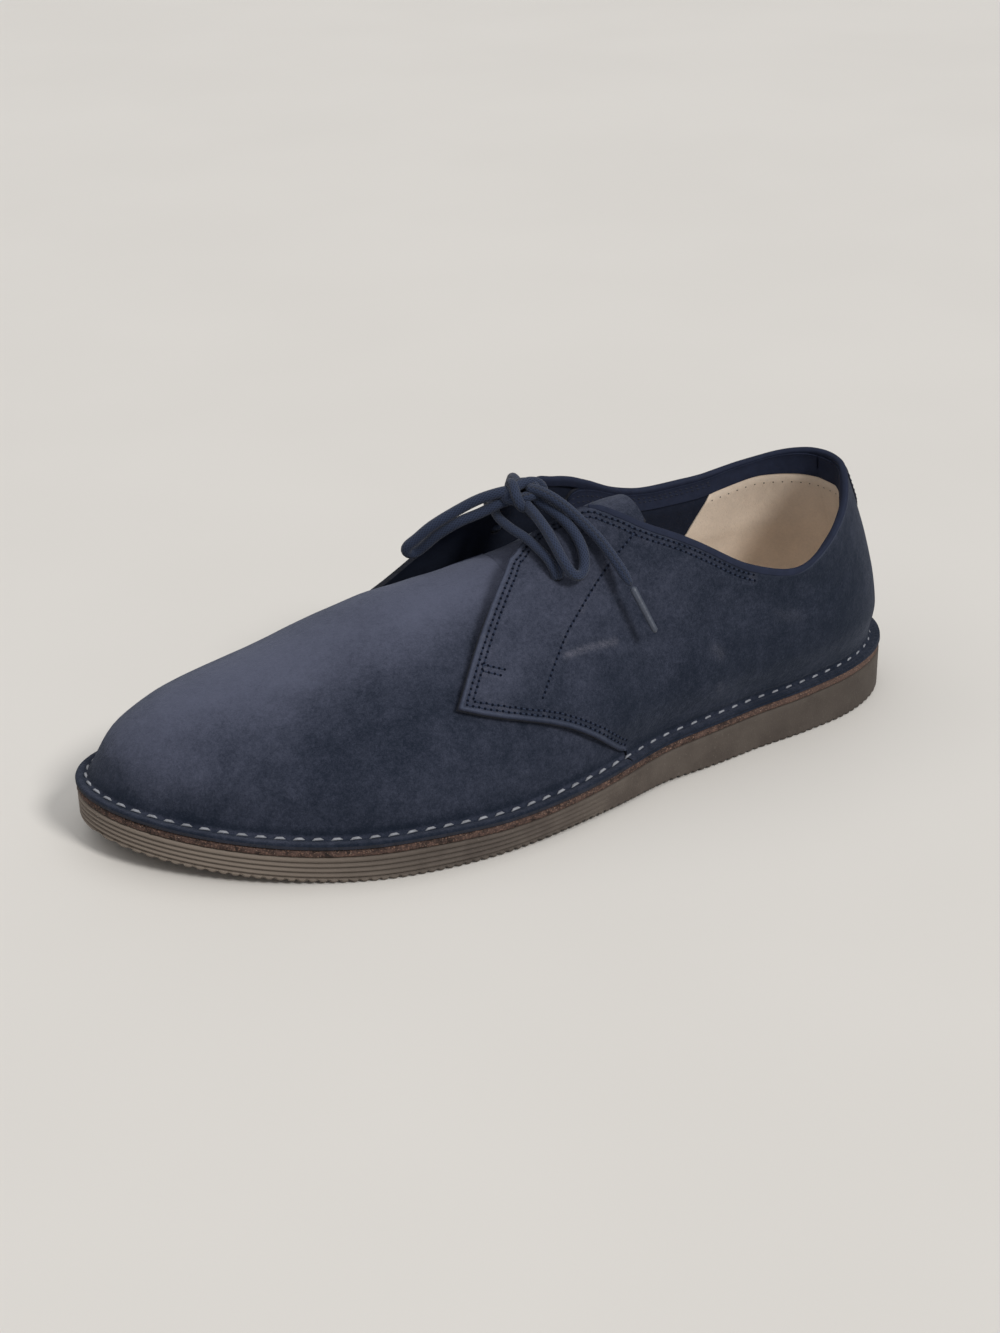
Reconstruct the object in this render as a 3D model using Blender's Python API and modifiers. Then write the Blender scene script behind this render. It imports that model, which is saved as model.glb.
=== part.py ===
"""A man's left derby shoe: suede upper stitched out onto a wedge sole, with one pair of eyelets.

The toe points along -X, the outer (lateral) side faces -Y and +Z is up. The origin lies on the
ground, under the middle of the sole. Sizes are named in millimetres, and MM turns them into metres.
"""

import math

import bmesh
import bpy
import numpy as np

MM = 0.001

# ---- driving sizes ---------------------------------------------------------------------------
SOLE_LENGTH = 302.0
WELT = 4.5            # how far the upper's edge is turned out over the sole
TOE_SPRING = 9.0      # how high the toe stands off the ground
SPRING_START = 0.74   # share of the length, from the heel, where the sole leaves the ground
MIDSOLE = 2.6
GAP = 0.3             # between two pieces that meet
UPPER_WALL = 1.8
QUARTER_WALL = 2.2    # suede and its lining together
QUARTER_GAP = 0.8
TONGUE_WALL = 2.4
INSOLE = 3.0
LACE = 3.8

LATERAL, MEDIAL = -1, 1

# Plan of the sole. A half width is the figure times 2 * sqrt(share * (1 - share)), which rounds
# both ends like an ellipse.
PLAN_COLUMNS = ("share", "centre", "lateral", "medial")
PLAN = (
    (0.00, 0.0, 65.0, 66.0),
    (0.08, 0.0, 57.5, 60.5),
    (0.16, 0.0, 50.0, 51.0),
    (0.25, 0.0, 45.5, 42.5),
    (0.35, 0.0, 45.5, 36.8),
    (0.45, 0.0, 51.0, 36.6),
    (0.55, 0.5, 57.5, 43.0),
    (0.65, 2.2, 62.8, 53.0),
    (0.75, 4.8, 66.0, 60.8),
    (0.85, 8.5, 66.5, 63.6),
    (0.93, 12.2, 66.3, 63.5),
    (1.00, 16.0, 66.0, 62.0),
)

# Thickness of outsole and midsole together.
SOLE_COLUMNS = ("share", "thickness", "arch")
SOLE = (
    (0.00, 18.8, 0.0),
    (0.10, 18.3, 0.0),
    (0.20, 17.2, 0.0),
    (0.30, 16.6, 0.2),
    (0.40, 15.0, 0.8),
    (0.50, 12.6, 0.8),
    (0.60, 11.9, 0.2),
    (0.65, 12.4, 0.0),
    (0.70, 12.8, 0.0),
    (0.85, 12.2, 0.0),
    (1.00, 12.0, 0.0),
)

# The last above the sole: height of its ridge, where the ridge lies across, how full each side is
# (2 is an ellipse, more is squarer) and how far the side swells out low down.
LAST_COLUMNS = ("share", "ridge", "across", "lateral_full", "medial_full", "swell")
LAST = (
    (0.00, 115.0, 0.0, 1.8, 1.8, 0.05),
    (0.20, 102.0, 0.0, 1.75, 1.9, 0.05),
    (0.30, 90.0, 1.0, 1.7, 2.3, 0.04),
    (0.36, 81.5, 2.0, 1.65, 2.7, 0.03),
    (0.41, 74.5, 2.5, 1.65, 2.9, 0.02),
    (0.46, 67.5, 3.0, 1.65, 2.9, 0.02),
    (0.51, 63.0, 3.5, 1.65, 2.8, 0.02),
    (0.58, 60.0, 4.5, 1.7, 2.5, 0.02),
    (0.64, 56.5, 6.0, 1.8, 2.3, 0.02),
    (0.70, 51.0, 7.0, 1.9, 2.1, 0.02),
    (0.77, 44.5, 8.5, 2.0, 2.0, 0.02),
    (0.83, 39.5, 10.0, 2.1, 2.0, 0.02),
    (0.88, 35.0, 11.5, 2.1, 2.0, 0.01),
    (0.93, 31.0, 13.0, 2.1, 2.0, 0.0),
    (1.00, 26.0, 16.0, 2.1, 2.0, 0.0),
)
BALL = 0.7            # share of the length where the foot is widest
TOE_ROUND_START = 0.86
TOE_ROUND_POWER = 2.2
SWELL_HEIGHT = 36.0

# The back of the heel: how far it stands in from the feather line at each height.
HEEL_COLUMNS = ("height", "set_in")
HEEL = ((0.0, 0.0), (13.0, 0.4), (27.0, 2.0), (40.0, 5.0), (55.0, 10.0), (69.0, 15.0), (110.0, 26.0))

# The top edges on each side, from the heel to the throat: the share of the way round, the distance
# from the heel's back and the height above the sole. The collar is one edge for upper and quarters.
EDGE_COLUMNS = ("turn", "along", "height")
COLLAR_LATERAL = (
    (0.00, 0.0, 65.5),
    (0.08, 3.0, 64.5),
    (0.16, 12.0, 56.5),
    (0.25, 27.0, 47.0),
    (0.34, 42.0, 43.0),
    (0.43, 58.0, 47.5),
    (0.52, 74.0, 57.2),
    (0.60, 90.0, 66.5),
)
COLLAR_MEDIAL = (
    (0.00, 0.0, 65.5),
    (0.08, 3.0, 65.5),
    (0.16, 12.0, 64.0),
    (0.25, 27.0, 60.0),
    (0.34, 42.0, 57.5),
    (0.43, 58.0, 59.0),
    (0.52, 74.0, 64.5),
    (0.60, 90.0, 68.5),
)
# Under the quarters the upper stops short of their throat edge and of their eyelets.
UPPER_THROAT = ((0.68, 104.0, 60.0), (0.77, 115.0, 54.0), (0.87, 128.0, 53.0))
THROAT_LATERAL = ((0.68, 102.0, 72.5), (0.77, 115.5, 68.6), (0.87, 136.5, 61.3))
FLAP_BOW = 2.6        # how far the flaps' front edges bulge forward half way up
THROAT_MEDIAL = ((0.68, 107.0, 69.0), (0.77, 118.0, 65.5), (0.87, 138.0, 60.5))
# Which turn of its rim each turn of the upper's foot runs to.
RIM_COLUMNS = ("foot", "rim")
RIM_TURNS = (
    (0.00, 0.0),
    (0.16, 0.11),
    (0.29, 0.29),
    (0.374, 0.46),
    (0.429, 0.59),
    (0.455, 0.64),
    (0.50, 0.70),
    (0.56, 0.77),
    (0.64, 0.84),
    (0.75, 0.91),
    (1.00, 1.0),
)
RIM_STEP = 0.6        # the upper's rim lies this much below the quarters'
THROAT_FRONT = -3.0   # where the upper's opening ends on the ridge

# How far the quarters stand off at the throat, and so what opens there.
LIFT_LATERAL = 5.0
LIFT_MEDIAL = 11.5
LIFT_LEAN = 0.3       # how far a lifted point also moves out sideways, for each mm up
LIFT_BACK = 90.0      # x where the quarters start to stand off
LIFT_REACH = 65.0

# A quarter from its back seam to its front edge: the turn and height of its lower edge, and the
# turn of its rim. The seam lies on the medial side of the heel, where the lateral quarter's turns
# are negative.
QUARTER_COLUMNS = ("way", "foot", "foot_height", "rim")
FOOT = UPPER_WALL + 2.8
QUARTER_LATERAL = (
    (0.00, -0.238, FOOT, -0.09),
    (0.10, -0.140, FOOT, -0.055),
    (0.22, 0.0, FOOT, 0.0),
    (0.36, 0.160, FOOT, 0.11),
    (0.50, 0.290, FOOT, 0.29),
    (0.62, 0.374, FOOT, 0.46),
    (0.71, 0.429, FOOT, 0.59),
    (0.76, 0.4545, FOOT, 0.635),
    (0.80, 0.472, 10.3, 0.685),
    (0.84, 0.4924, 18.2, 0.735),
    (0.89, 0.518, 24.5, 0.785),
    (0.945, 0.549, 29.6, 0.83),
    (1.00, 0.5785, 34.2, 0.87),
)
QUARTER_MEDIAL = (
    (0.00, 0.240, FOOT, 0.0925),
    (0.22, 0.320, FOOT, 0.24),
    (0.38, 0.374, FOOT, 0.40),
    (0.54, 0.429, FOOT, 0.56),
    (0.62, 0.4545, FOOT, 0.62),
    (0.68, 0.474, 10.3, 0.68),
    (0.75, 0.497, 18.2, 0.73),
    (0.83, 0.524, 24.5, 0.78),
    (0.915, 0.558, 29.6, 0.83),
    (1.00, 0.592, 33.5, 0.87),
)
LATERAL_COLUMNS, MEDIAL_COLUMNS = 35, 26

# The eyelets: the middle on the quarter's outer face, and the direction out of it.
EYELETS = {
    LATERAL: ((8.4, -20.8, 77.3), (-0.20, -0.71, 0.675)),
    MEDIAL: ((8.0, 24.5, 78.3), (-0.16, 0.90, 0.41)),
}
EYELET_WIDTH = 4.8

# The lace as places that its middle passes. Two strands cross the throat from eyelet to eyelet.
FRONT_STRAND = (
    (7.9, -22.9, 79.3), (6.3, -19.6, 82.2), (4.6, -13.6, 85.4), (3.2, -8.5, 87.2), (1.2, -2.0, 88.6),
    (0.4, 5.0, 89.8), (1.5, 11.0, 90.8), (3.3, 17.0, 91.4), (4.9, 22.0, 89.4), (7.6, 26.9, 79.6),
)
REAR_STRAND = (
    (7.9, -22.9, 79.3), (9.9, -19.3, 83.4), (10.2, -13.4, 88.3), (10.0, -8.5, 90.3), (10.0, -2.0, 91.4),
    (9.6, 5.0, 91.7), (9.0, 11.0, 92.2), (8.4, 17.0, 92.6), (7.7, 22.4, 90.4), (7.6, 26.9, 79.6),
)
KNOT_MIDDLE = (9.5, 3.0, 98.6)
KNOT_SIZE = (16.0, 9.0, 9.0)
LATERAL_LOOP = (
    (7.2, -1.6, 96.0), (7.2, -8.4, 94.4), (7.4, -14.6, 92.0), (7.9, -20.0, 88.2), (8.9, -24.7, 83.5),
    (11.0, -26.9, 79.4), (14.2, -26.6, 78.2), (16.8, -24.6, 80.6), (17.9, -21.2, 84.8), (17.3, -16.2, 89.3),
    (15.2, -9.2, 93.2), (11.8, -1.6, 95.9),
)
MEDIAL_LOOP = (
    (1.0, 4.4, 99.4), (-5.4, 8.6, 96.6), (-12.0, 12.4, 92.4), (-19.6, 16.0, 87.2), (-25.4, 20.0, 80.2),
    (-26.2, 22.6, 75.4), (-22.6, 20.6, 77.4), (-17.4, 16.0, 83.0), (-11.6, 11.4, 88.0), (-5.0, 7.8, 91.6),
    (0.6, 5.0, 94.9),
)
LATERAL_END = (
    (11.6, -3.0, 100.4), (15.5, -9.0, 98.0), (20.0, -15.0, 93.0), (24.0, -22.5, 87.0), (26.5, -29.0, 81.0),
    (28.5, -35.5, 74.6),
)
LATERAL_TIP = ((28.6, -35.8, 74.3), (33.4, -43.6, 59.6))
MEDIAL_END = (
    (10.0, 8.3, 98.8), (12.0, 16.0, 98.0), (15.0, 23.5, 94.6), (18.0, 31.0, 88.0), (20.0, 37.0, 79.6),
    (21.0, 41.0, 70.0),
)
MEDIAL_TIP = ((21.05, 41.15, 69.6), (22.4, 44.0, 54.0))
TIP_WIDTH = 3.0


# ---- curves through tables -------------------------------------------------------------------
def smooth(table, columns, name, at):
    """A column of a table at a place between its rows, on a curve without overshoot."""
    rows = np.array(table)
    x, y = rows[:, 0], rows[:, columns.index(name)]
    steps = np.diff(x)
    slopes = np.diff(y) / steps
    tangents = np.zeros(len(x))
    tangents[0], tangents[-1] = slopes[0], slopes[-1]
    for i in range(1, len(x) - 1):
        if slopes[i - 1] * slopes[i] > 0:
            before, after = steps[i - 1], steps[i]
            first, second = 2 * after + before, after + 2 * before
            tangents[i] = (first + second) / (first / slopes[i - 1] + second / slopes[i])
    at = np.clip(np.asarray(at, float), x[0], x[-1])
    i = np.clip(np.searchsorted(x, at) - 1, 0, len(x) - 2)
    t = (at - x[i]) / steps[i]
    return (
        (2 * t**3 - 3 * t**2 + 1) * y[i]
        + (t**3 - 2 * t**2 + t) * steps[i] * tangents[i]
        + (3 * t**2 - 2 * t**3) * y[i + 1]
        + (t**3 - t**2) * steps[i] * tangents[i + 1]
    )


def ease(value):
    """0 to 1 with level ends."""
    value = np.clip(value, 0.0, 1.0)
    return value * value * (3 - 2 * value)


# ---- the sole's plan and heights -------------------------------------------------------------
def share_of(along_x):
    return 0.5 - np.asarray(along_x, float) / SOLE_LENGTH


def spring(along_x):
    rise = np.clip((share_of(along_x) - SPRING_START) / (1 - SPRING_START), 0, 1.1)
    return TOE_SPRING * rise**1.7


def seat(along_x):
    """Height of the face that the upper's turned-out edge lies on."""
    return spring(along_x) + smooth(SOLE, SOLE_COLUMNS, "thickness", share_of(along_x))


def half_width(share, side, inset=0.0):
    name = "lateral" if side == LATERAL else "medial"
    roundness = 2 * np.sqrt(np.clip(share * (1 - share), 0, 1))
    return (smooth(PLAN, PLAN_COLUMNS, name, share) - inset * (1.4 - 0.4 * roundness)) * roundness


def plan(turn, inset=0.0):
    """A point of the plan outline, set in from the sole's edge. turn runs from 0 at the heel by the
    lateral side to 1 at the toe, and by the medial side to 2."""
    angle = math.pi * turn
    side = LATERAL if angle % (2 * math.pi) < math.pi else MEDIAL
    share = (1 - math.cos(angle)) / 2
    x = (SOLE_LENGTH / 2 - inset) * (1 - 2 * share)
    centre = float(smooth(PLAN, PLAN_COLUMNS, "centre", share))
    return x, centre + side * float(half_width(share, side, inset))


# ---- the last ----------------------------------------------------------------------------------
HEEL_END = SOLE_LENGTH / 2 - WELT
TOE_END = -HEEL_END


def ridge(share):
    """Height of the last's ridge above the sole."""
    toe = np.clip((share - TOE_ROUND_START) / (1 - TOE_ROUND_START), 0, 1)
    return smooth(LAST, LAST_COLUMNS, "ridge", share) * np.sqrt(1 - toe**TOE_ROUND_POWER)


SHARES = 1 - np.linspace(0, 1, 1200) ** 2
RIDGES = ridge(SHARES)


def heel_end(height):
    return HEEL_END - float(smooth(HEEL, HEEL_COLUMNS, "set_in", height))


def toe_end(height):
    """Where the ridge passes a height."""
    return HEEL_END - 2 * HEEL_END * float(np.interp(height, RIDGES, SHARES))


def section(x, height, side):
    """Across and up of the upper's outer face at a place along the shoe and a height over the sole."""
    share = (heel_end(height) - x) / (heel_end(height) - TOE_END)
    station = (HEEL_END - x) / (2 * HEEL_END)
    fraction = min(1.0, height / max(float(ridge(station)), 1e-6))
    swell = float(smooth(LAST, LAST_COLUMNS, "swell", station))
    swell *= math.sin(math.pi * min(1.0, height / SWELL_HEIGHT))
    width = float(half_width(share, side, WELT)) * section_ratio(station, fraction, side) * (1 + swell)
    low = float(smooth(PLAN, PLAN_COLUMNS, "centre", station))
    high = float(smooth(LAST, LAST_COLUMNS, "across", station))
    return low + (high - low) * fraction + side * width, float(seat(x)) + height


def fullness(station, side):
    return float(smooth(LAST, LAST_COLUMNS, "lateral_full" if side == LATERAL else "medial_full", station))


def section_ratio(station, fraction, side):
    """Half width of a section, as a share of its width at the sole, at a share of its height."""
    return math.sqrt(max(0.0, 1 - fraction ** fullness(station, side)))


def round_path(start, end, side, share):
    """A place between two others, part of the way round slices of the last."""
    turns = []
    for x, height in (start, end):
        heel, toe = heel_end(height), toe_end(height)
        turns.append(math.acos(max(-1.0, min(1.0, 1 - 2 * (heel - x) / (heel - toe)))))
    height = start[1] + (end[1] - start[1]) * share
    angle = turns[0] + (turns[1] - turns[0]) * share
    heel, toe = heel_end(height), toe_end(height)
    x = heel - (heel - toe) * (1 - math.cos(angle)) / 2
    return (x, *section(x, height, side)), height


def spread(station, side):
    """Half width that the lines over the forepart fan out by: level behind the ball of the foot."""
    return max(float(half_width(max(station, BALL), side, WELT)), 1e-6)


def over_path(start, end, side, share):
    """A place between two others, part of the way along a straight line over the forepart."""
    ends = []
    for x, height in (start, end):
        station = (HEEL_END - x) / (2 * HEEL_END)
        ratio = section_ratio(station, min(1.0, height / max(float(ridge(station)), 1e-6)), side)
        ends.append((x, ratio * spread(station, side)))
    x = ends[0][0] + (ends[1][0] - ends[0][0]) * share
    across = ends[0][1] + (ends[1][1] - ends[0][1]) * share
    station = (HEEL_END - x) / (2 * HEEL_END)
    ratio = min(1.0, across / spread(station, side))
    height = float(ridge(station)) * (1 - ratio**2) ** (1 / fullness(station, side))
    return (x, *section(x, height, side)), height


def slice_path(start, end, side, share, bow=0.0):
    """A place between two others, where the way round a slice and the way along change evenly,
    but for a bow forward."""
    ends = []
    for x, height in (start, end):
        station = (HEEL_END - x) / (2 * HEEL_END)
        ratio = section_ratio(station, min(1.0, height / max(float(ridge(station)), 1e-6)), side)
        ends.append((x, math.acos(ratio)))
    x = ends[0][0] + (ends[1][0] - ends[0][0]) * share - bow * math.sin(math.pi * share)
    rise = math.sin(ends[0][1] + (ends[1][1] - ends[0][1]) * share)
    station = (HEEL_END - x) / (2 * HEEL_END)
    height = float(ridge(station)) * rise ** (2 / fullness(station, side))
    return (x, *section(x, height, side)), height


def path_on_last(start, end, side, count, blend, lowest=0.0):
    """Points at equal distances over the last between two (x, height) places on one side, from
    where the path passes the lowest height. blend holds the paths with their weights."""
    points, heights = [], []
    for share in 1 - np.cos(np.linspace(0, math.pi / 2, 90)):
        point, height = np.zeros(3), 0.0
        for weight, path in blend:
            if weight > 0:
                place, up = path(start, end, side, float(share))
                point, height = point + weight * np.array(place), height + weight * up
        points.append(point)
        heights.append(height)
    points, heights = np.array(points), np.array(heights)
    run = np.concatenate([[0], np.cumsum(np.linalg.norm(np.diff(points, axis=0), axis=1))])
    first = 0.0
    if lowest > heights[0]:
        i = int(np.argmax(heights >= lowest))
        first = run[i - 1] + (run[i] - run[i - 1]) * (lowest - heights[i - 1]) / (heights[i] - heights[i - 1])
    wanted = np.linspace(first, run[-1], count)
    return np.stack([np.interp(wanted, run, points[:, axis]) for axis in range(3)], axis=1)


def side_of(turn):
    return LATERAL if turn <= 1 else MEDIAL


def edge_place(rows, turn):
    """The (x, height) place of an edge given by rows."""
    along, height = (float(smooth(rows, EDGE_COLUMNS, name, turn)) for name in ("along", "height"))
    return heel_end(height) - along, height


def upper_edge(turn):
    """Where the upper's own top edge lies, for a turn of its foot."""
    collar = COLLAR_LATERAL if side_of(turn) == LATERAL else COLLAR_MEDIAL
    height = float(ridge((HEEL_END - THROAT_FRONT) / (2 * HEEL_END)))
    front = (1.0, heel_end(height) - THROAT_FRONT, height)
    rim_turn = float(smooth(RIM_TURNS, RIM_COLUMNS, "rim", min(turn, 2 - turn)))
    x, height = edge_place((*collar, *UPPER_THROAT, front), rim_turn)
    return x, height - RIM_STEP


def quarter_edge(turn, side):
    if side == LATERAL:
        return edge_place((*COLLAR_LATERAL, *THROAT_LATERAL), turn)
    return edge_place((*COLLAR_MEDIAL, *THROAT_MEDIAL), turn)


def lift(point, side, front_fade):
    """How far a point near the throat stands off the last. front_fade holds the vamp down."""
    x, _, z = point
    height = z - float(seat(x))
    station = (HEEL_END - x) / (2 * HEEL_END)
    ratio = section_ratio(station, min(1.0, height / float(ridge(station))), side)
    amount = LIFT_LATERAL if side == LATERAL else LIFT_MEDIAL
    amount *= float(ease((LIFT_BACK - x) / LIFT_REACH)) * float(ease((0.78 - ratio) / 0.5))
    if front_fade:
        amount *= 0.8 * float(ease((x - 2.0) / 22.0))
    return amount


# ---- Blender helpers ---------------------------------------------------------------------------
def clear_scene():
    for obj in list(bpy.data.objects):
        bpy.data.objects.remove(obj, do_unlink=True)


def material(name, colour, roughness, metallic=0.0):
    made = bpy.data.materials.new(name)
    made.use_nodes = True
    shader = made.node_tree.nodes["Principled BSDF"]
    shader.inputs["Base Color"].default_value = (*colour, 1.0)
    shader.inputs["Roughness"].default_value = roughness
    shader.inputs["Metallic"].default_value = metallic
    return made


def add_object(name, data, finish):
    obj = bpy.data.objects.new(name, data)
    SHOE.objects.link(obj)
    data.materials.append(finish)
    return obj


def mesh_object(name, points, faces, finish):
    mesh = bpy.data.meshes.new(name)
    mesh.from_pydata([tuple(float(c) * MM for c in p) for p in points], [], faces)
    mesh.shade_smooth()
    return add_object(name, mesh, finish)


def grid_faces(rows, columns, closed):
    """Quads of a grid of points stored row after row; closed joins the last column to the first."""
    faces = []
    for row in range(rows - 1):
        for column in range(columns if closed else columns - 1):
            after = (column + 1) % columns
            faces.append(
                (
                    row * columns + column,
                    (row + 1) * columns + column,
                    (row + 1) * columns + after,
                    row * columns + after,
                )
            )
    return faces


def solidify(obj, wall, outward):
    shell = obj.modifiers.new("wall", "SOLIDIFY")
    shell.thickness = wall * MM
    shell.offset = 1.0 if outward else -1.0
    shell.use_even_offset = True
    return obj


def normals_of(grid):
    """Unit normals of a grid of points, in rows going up and columns going round from the heel by
    the lateral side, that point out of the shoe."""
    round_about = np.gradient(grid, axis=1)
    up = np.gradient(grid, axis=0)
    normals = np.cross(up, round_about)
    return normals / (np.linalg.norm(normals, axis=2, keepdims=True) + 1e-12)


# ---- the upper -----------------------------------------------------------------------------------
UPPER_COLUMNS = 72
UPPER_ROWS = 12
FLANGE_ROWS = ((0.0, UPPER_WALL), (WELT - 1.2, UPPER_WALL), (WELT - 0.3, UPPER_WALL + 0.7))
WALL_START = UPPER_WALL + 2.4


def stood_off(grid, sides, offset, front_fade):
    """The grid lifted at the throat and moved out by an offset."""
    moved = grid.copy()
    for column, side in enumerate(sides):
        for row in range(len(grid)):
            up = lift(grid[row, column], side, front_fade)
            moved[row, column] += (0, side * LIFT_LEAN * up, up)
    return moved + normals_of(moved) * offset


def make_upper(finish):
    turns = [2 * column / UPPER_COLUMNS for column in range(UPPER_COLUMNS)]
    flange = []
    for inset, height in FLANGE_ROWS:
        ring = [plan(turn, inset) for turn in turns]
        flange.append([(x, y, float(seat(x)) + height) for x, y in ring])
    wall = []
    for turn in turns:
        start = plan(turn, WELT)[0], 0.0
        fore = float(ease((90.0 - start[0]) / 40.0))
        blend = ((1 - fore, round_path), (fore, over_path))
        wall.append(path_on_last(start, upper_edge(turn), side_of(turn), UPPER_ROWS, blend, WALL_START))
    wall = np.array(wall).transpose(1, 0, 2)
    wall = stood_off(wall, [side_of(turn) for turn in turns], 0.0, front_fade=True)
    grid = np.concatenate([np.array(flange), wall])
    faces = grid_faces(len(grid), UPPER_COLUMNS, True)
    upper = mesh_object("upper", grid.reshape(-1, 3), faces, finish)
    return solidify(upper, UPPER_WALL, outward=False)


# ---- the quarters --------------------------------------------------------------------------------
QUARTER_ROWS = 9


def quarter_column(table, way, side):
    foot, foot_height, rim = (float(smooth(table, QUARTER_COLUMNS, n, way)) for n in QUARTER_COLUMNS[1:])
    if foot < 0:
        side = -side
    end = quarter_edge(abs(rim), side)
    start = plan(abs(foot), WELT)[0] + heel_end(foot_height) - heel_end(0), foot_height
    fore = float(ease((90.0 - start[0]) / 40.0))
    bow = FLAP_BOW * float(ease((way - 0.72) / 0.28))
    blend = ((1 - fore, round_path), (fore, lambda *ends: slice_path(*ends, bow=bow)))
    return path_on_last(start, end, side, QUARTER_ROWS, blend), side


def quarter_grid(table, side, columns):
    """Points of a quarter's inner face, and the side that each column is on."""
    made = [quarter_column(table, way, side) for way in np.linspace(0, 1, columns)]
    grid = np.array([points for points, _ in made]).transpose(1, 0, 2)
    return grid, [where for _, where in made]


def make_quarter(name, table, side, columns, finish):
    grid, sides = quarter_grid(table, side, columns)
    if side == MEDIAL:
        grid, sides = grid[:, ::-1], sides[::-1]
    grid = stood_off(grid, sides, QUARTER_GAP, front_fade=False)
    quarter = mesh_object(name, grid.reshape(-1, 3), grid_faces(QUARTER_ROWS, columns, False), finish)
    return solidify(quarter, QUARTER_WALL, outward=True)


# ---- the collar and the tongue -------------------------------------------------------------------
CORNER_X = {LATERAL: 26.0, MEDIAL: 20.0}
BINDING_STATIONS = 46
QUARTERS = ((QUARTER_MEDIAL, MEDIAL, MEDIAL_COLUMNS), (QUARTER_LATERAL, LATERAL, LATERAL_COLUMNS))
BINDING_SECTION = (
    (-2.6, 0.0), (-2.9, 0.9), (-2.4, 2.1), (-1.2, 2.8), (1.2, 2.8), (2.4, 2.1), (2.9, 0.9), (2.6, 0.0),
)


def unit(rows):
    return rows / (np.linalg.norm(rows, axis=-1, keepdims=True) + 1e-12)


def rim():
    """Places along the quarters' rim from the medial corner of the throat round the heel to the
    lateral corner, with the directions out of the shoe and up along the wall."""
    places, outward, upward = [], [], []
    for table, side, columns in QUARTERS:
        grid, sides = quarter_grid(table, side, columns)
        if side == MEDIAL:
            grid, sides = grid[:, ::-1], sides[::-1]
        grid = stood_off(grid, sides, QUARTER_GAP, front_fade=False)
        normals, ups = normals_of(grid)[-1], unit(grid[-1] - grid[-2])
        for place, normal, up in zip(grid[-1], normals, ups):
            if place[0] > CORNER_X[side]:
                places.append(place)
                outward.append(normal)
                upward.append(up)
    return np.array(places), np.array(outward), np.array(upward)


def resample(rows, run, wanted):
    return np.stack([np.interp(wanted, run, rows[:, axis]) for axis in range(rows.shape[1])], axis=1)


def swept(name, places, outward, upward, section, finish):
    """A strip with one section, given as (outward, upward) points, along places."""
    points = []
    for place, out, up in zip(places, outward, upward):
        points += [place + out * a + up * b for a, b in section]
    size = len(section)
    faces = []
    for i in range(len(places) - 1):
        for k in range(size):
            after = (k + 1) % size
            faces.append((i * size + k, i * size + after, (i + 1) * size + after, (i + 1) * size + k))
    faces.append(tuple(reversed(range(size))))
    faces.append(tuple((len(places) - 1) * size + k for k in range(size)))
    made = mesh_object(name, points, faces, finish)
    point_outward(made)
    return made


def point_outward(obj):
    """Turn every face of a closed mesh outward."""
    work = bmesh.new()
    work.from_mesh(obj.data)
    bmesh.ops.recalc_face_normals(work, faces=work.faces)
    work.to_mesh(obj.data)
    work.free()


def make_binding(finish):
    places, outward, upward = rim()
    run = np.concatenate([[0], np.cumsum(np.linalg.norm(np.diff(places, axis=0), axis=1))])
    wanted = np.linspace(0, run[-1], BINDING_STATIONS)
    places, outward, upward = (resample(rows, run, wanted) for rows in (places, outward, upward))
    outward, upward = unit(outward), unit(upward)
    middle = (QUARTER_WALL - UPPER_WALL) / 2 - QUARTER_GAP / 2
    places = places + outward * middle + upward * 1.5 * GAP
    return swept("collar_binding", places, outward, upward, BINDING_SECTION, finish)


TAB_HEIGHT = 13.0
TAB_WALL = 1.2


def make_heel_tab(finish):
    """A small patch over the top of the heel."""
    columns = []
    for turn in np.linspace(-0.075, 0.075, 9):
        side = LATERAL if turn >= 0 else MEDIAL
        x, height = quarter_edge(abs(turn), side)
        along = heel_end(height) - x
        low = height - TAB_HEIGHT
        ends = (heel_end(low) - along * 0.8, low), (x, height - 0.4)
        columns.append(path_on_last(*ends, side, 5, ((1.0, round_path),)))
    grid = np.array(columns).transpose(1, 0, 2)
    grid = grid + normals_of(grid) * (QUARTER_GAP + QUARTER_WALL + GAP)
    tab = mesh_object("heel_tab", grid.reshape(-1, 3), grid_faces(5, 9, False), finish)
    return solidify(tab, TAB_WALL, outward=True)


# How far the tongue reaches to each side of the last's middle, and how far it lies below the last.
TONGUE_COLUMNS = ("x", "lateral", "medial", "drop")
TONGUE = (
    (-13.0, 11.0, 11.0, 1.2),
    (0.0, 15.0, 14.0, 1.2),
    (14.0, 18.0, 15.0, 1.6),
    (28.0, 20.0, 14.0, 3.2),
    (38.0, 20.0, 12.5, 7.0),
    (45.0, 17.0, 11.0, 10.5),
    (49.0, 11.0, 7.0, 12.6),
)
TONGUE_ROWS = 15


def on_last(x, across, side):
    """The place on the last at a distance across from its middle line."""
    station = (HEEL_END - x) / (2 * HEEL_END)
    ratio = min(0.97, across / float(half_width(station, side, WELT)))
    height = float(ridge(station)) * (1 - ratio**2) ** (1 / fullness(station, side))
    return (x, *section(x, height, side))


def make_tongue(finish):
    columns = []
    rows = np.linspace(TONGUE[-1][0], TONGUE[0][0], TONGUE_ROWS)
    for across in np.linspace(-1, 1, 11):
        side, name = (LATERAL, "lateral") if across < 0 else (MEDIAL, "medial")
        column = []
        for x in rows:
            half, drop = (float(smooth(TONGUE, TONGUE_COLUMNS, n, x)) for n in (name, "drop"))
            place = np.array(on_last(float(x), abs(across) * half, side))
            column.append(place - (0, 0, drop))
        columns.append(column)
    grid = np.array(columns)
    grid = grid - normals_of(grid) * (UPPER_WALL + 0.8)
    tongue = mesh_object("tongue", grid.reshape(-1, 3), grid_faces(11, TONGUE_ROWS, False), finish)
    return solidify(tongue, TONGUE_WALL, outward=False)


# ---- the lace ------------------------------------------------------------------------------------
TUBE_SIDES = 8


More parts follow.
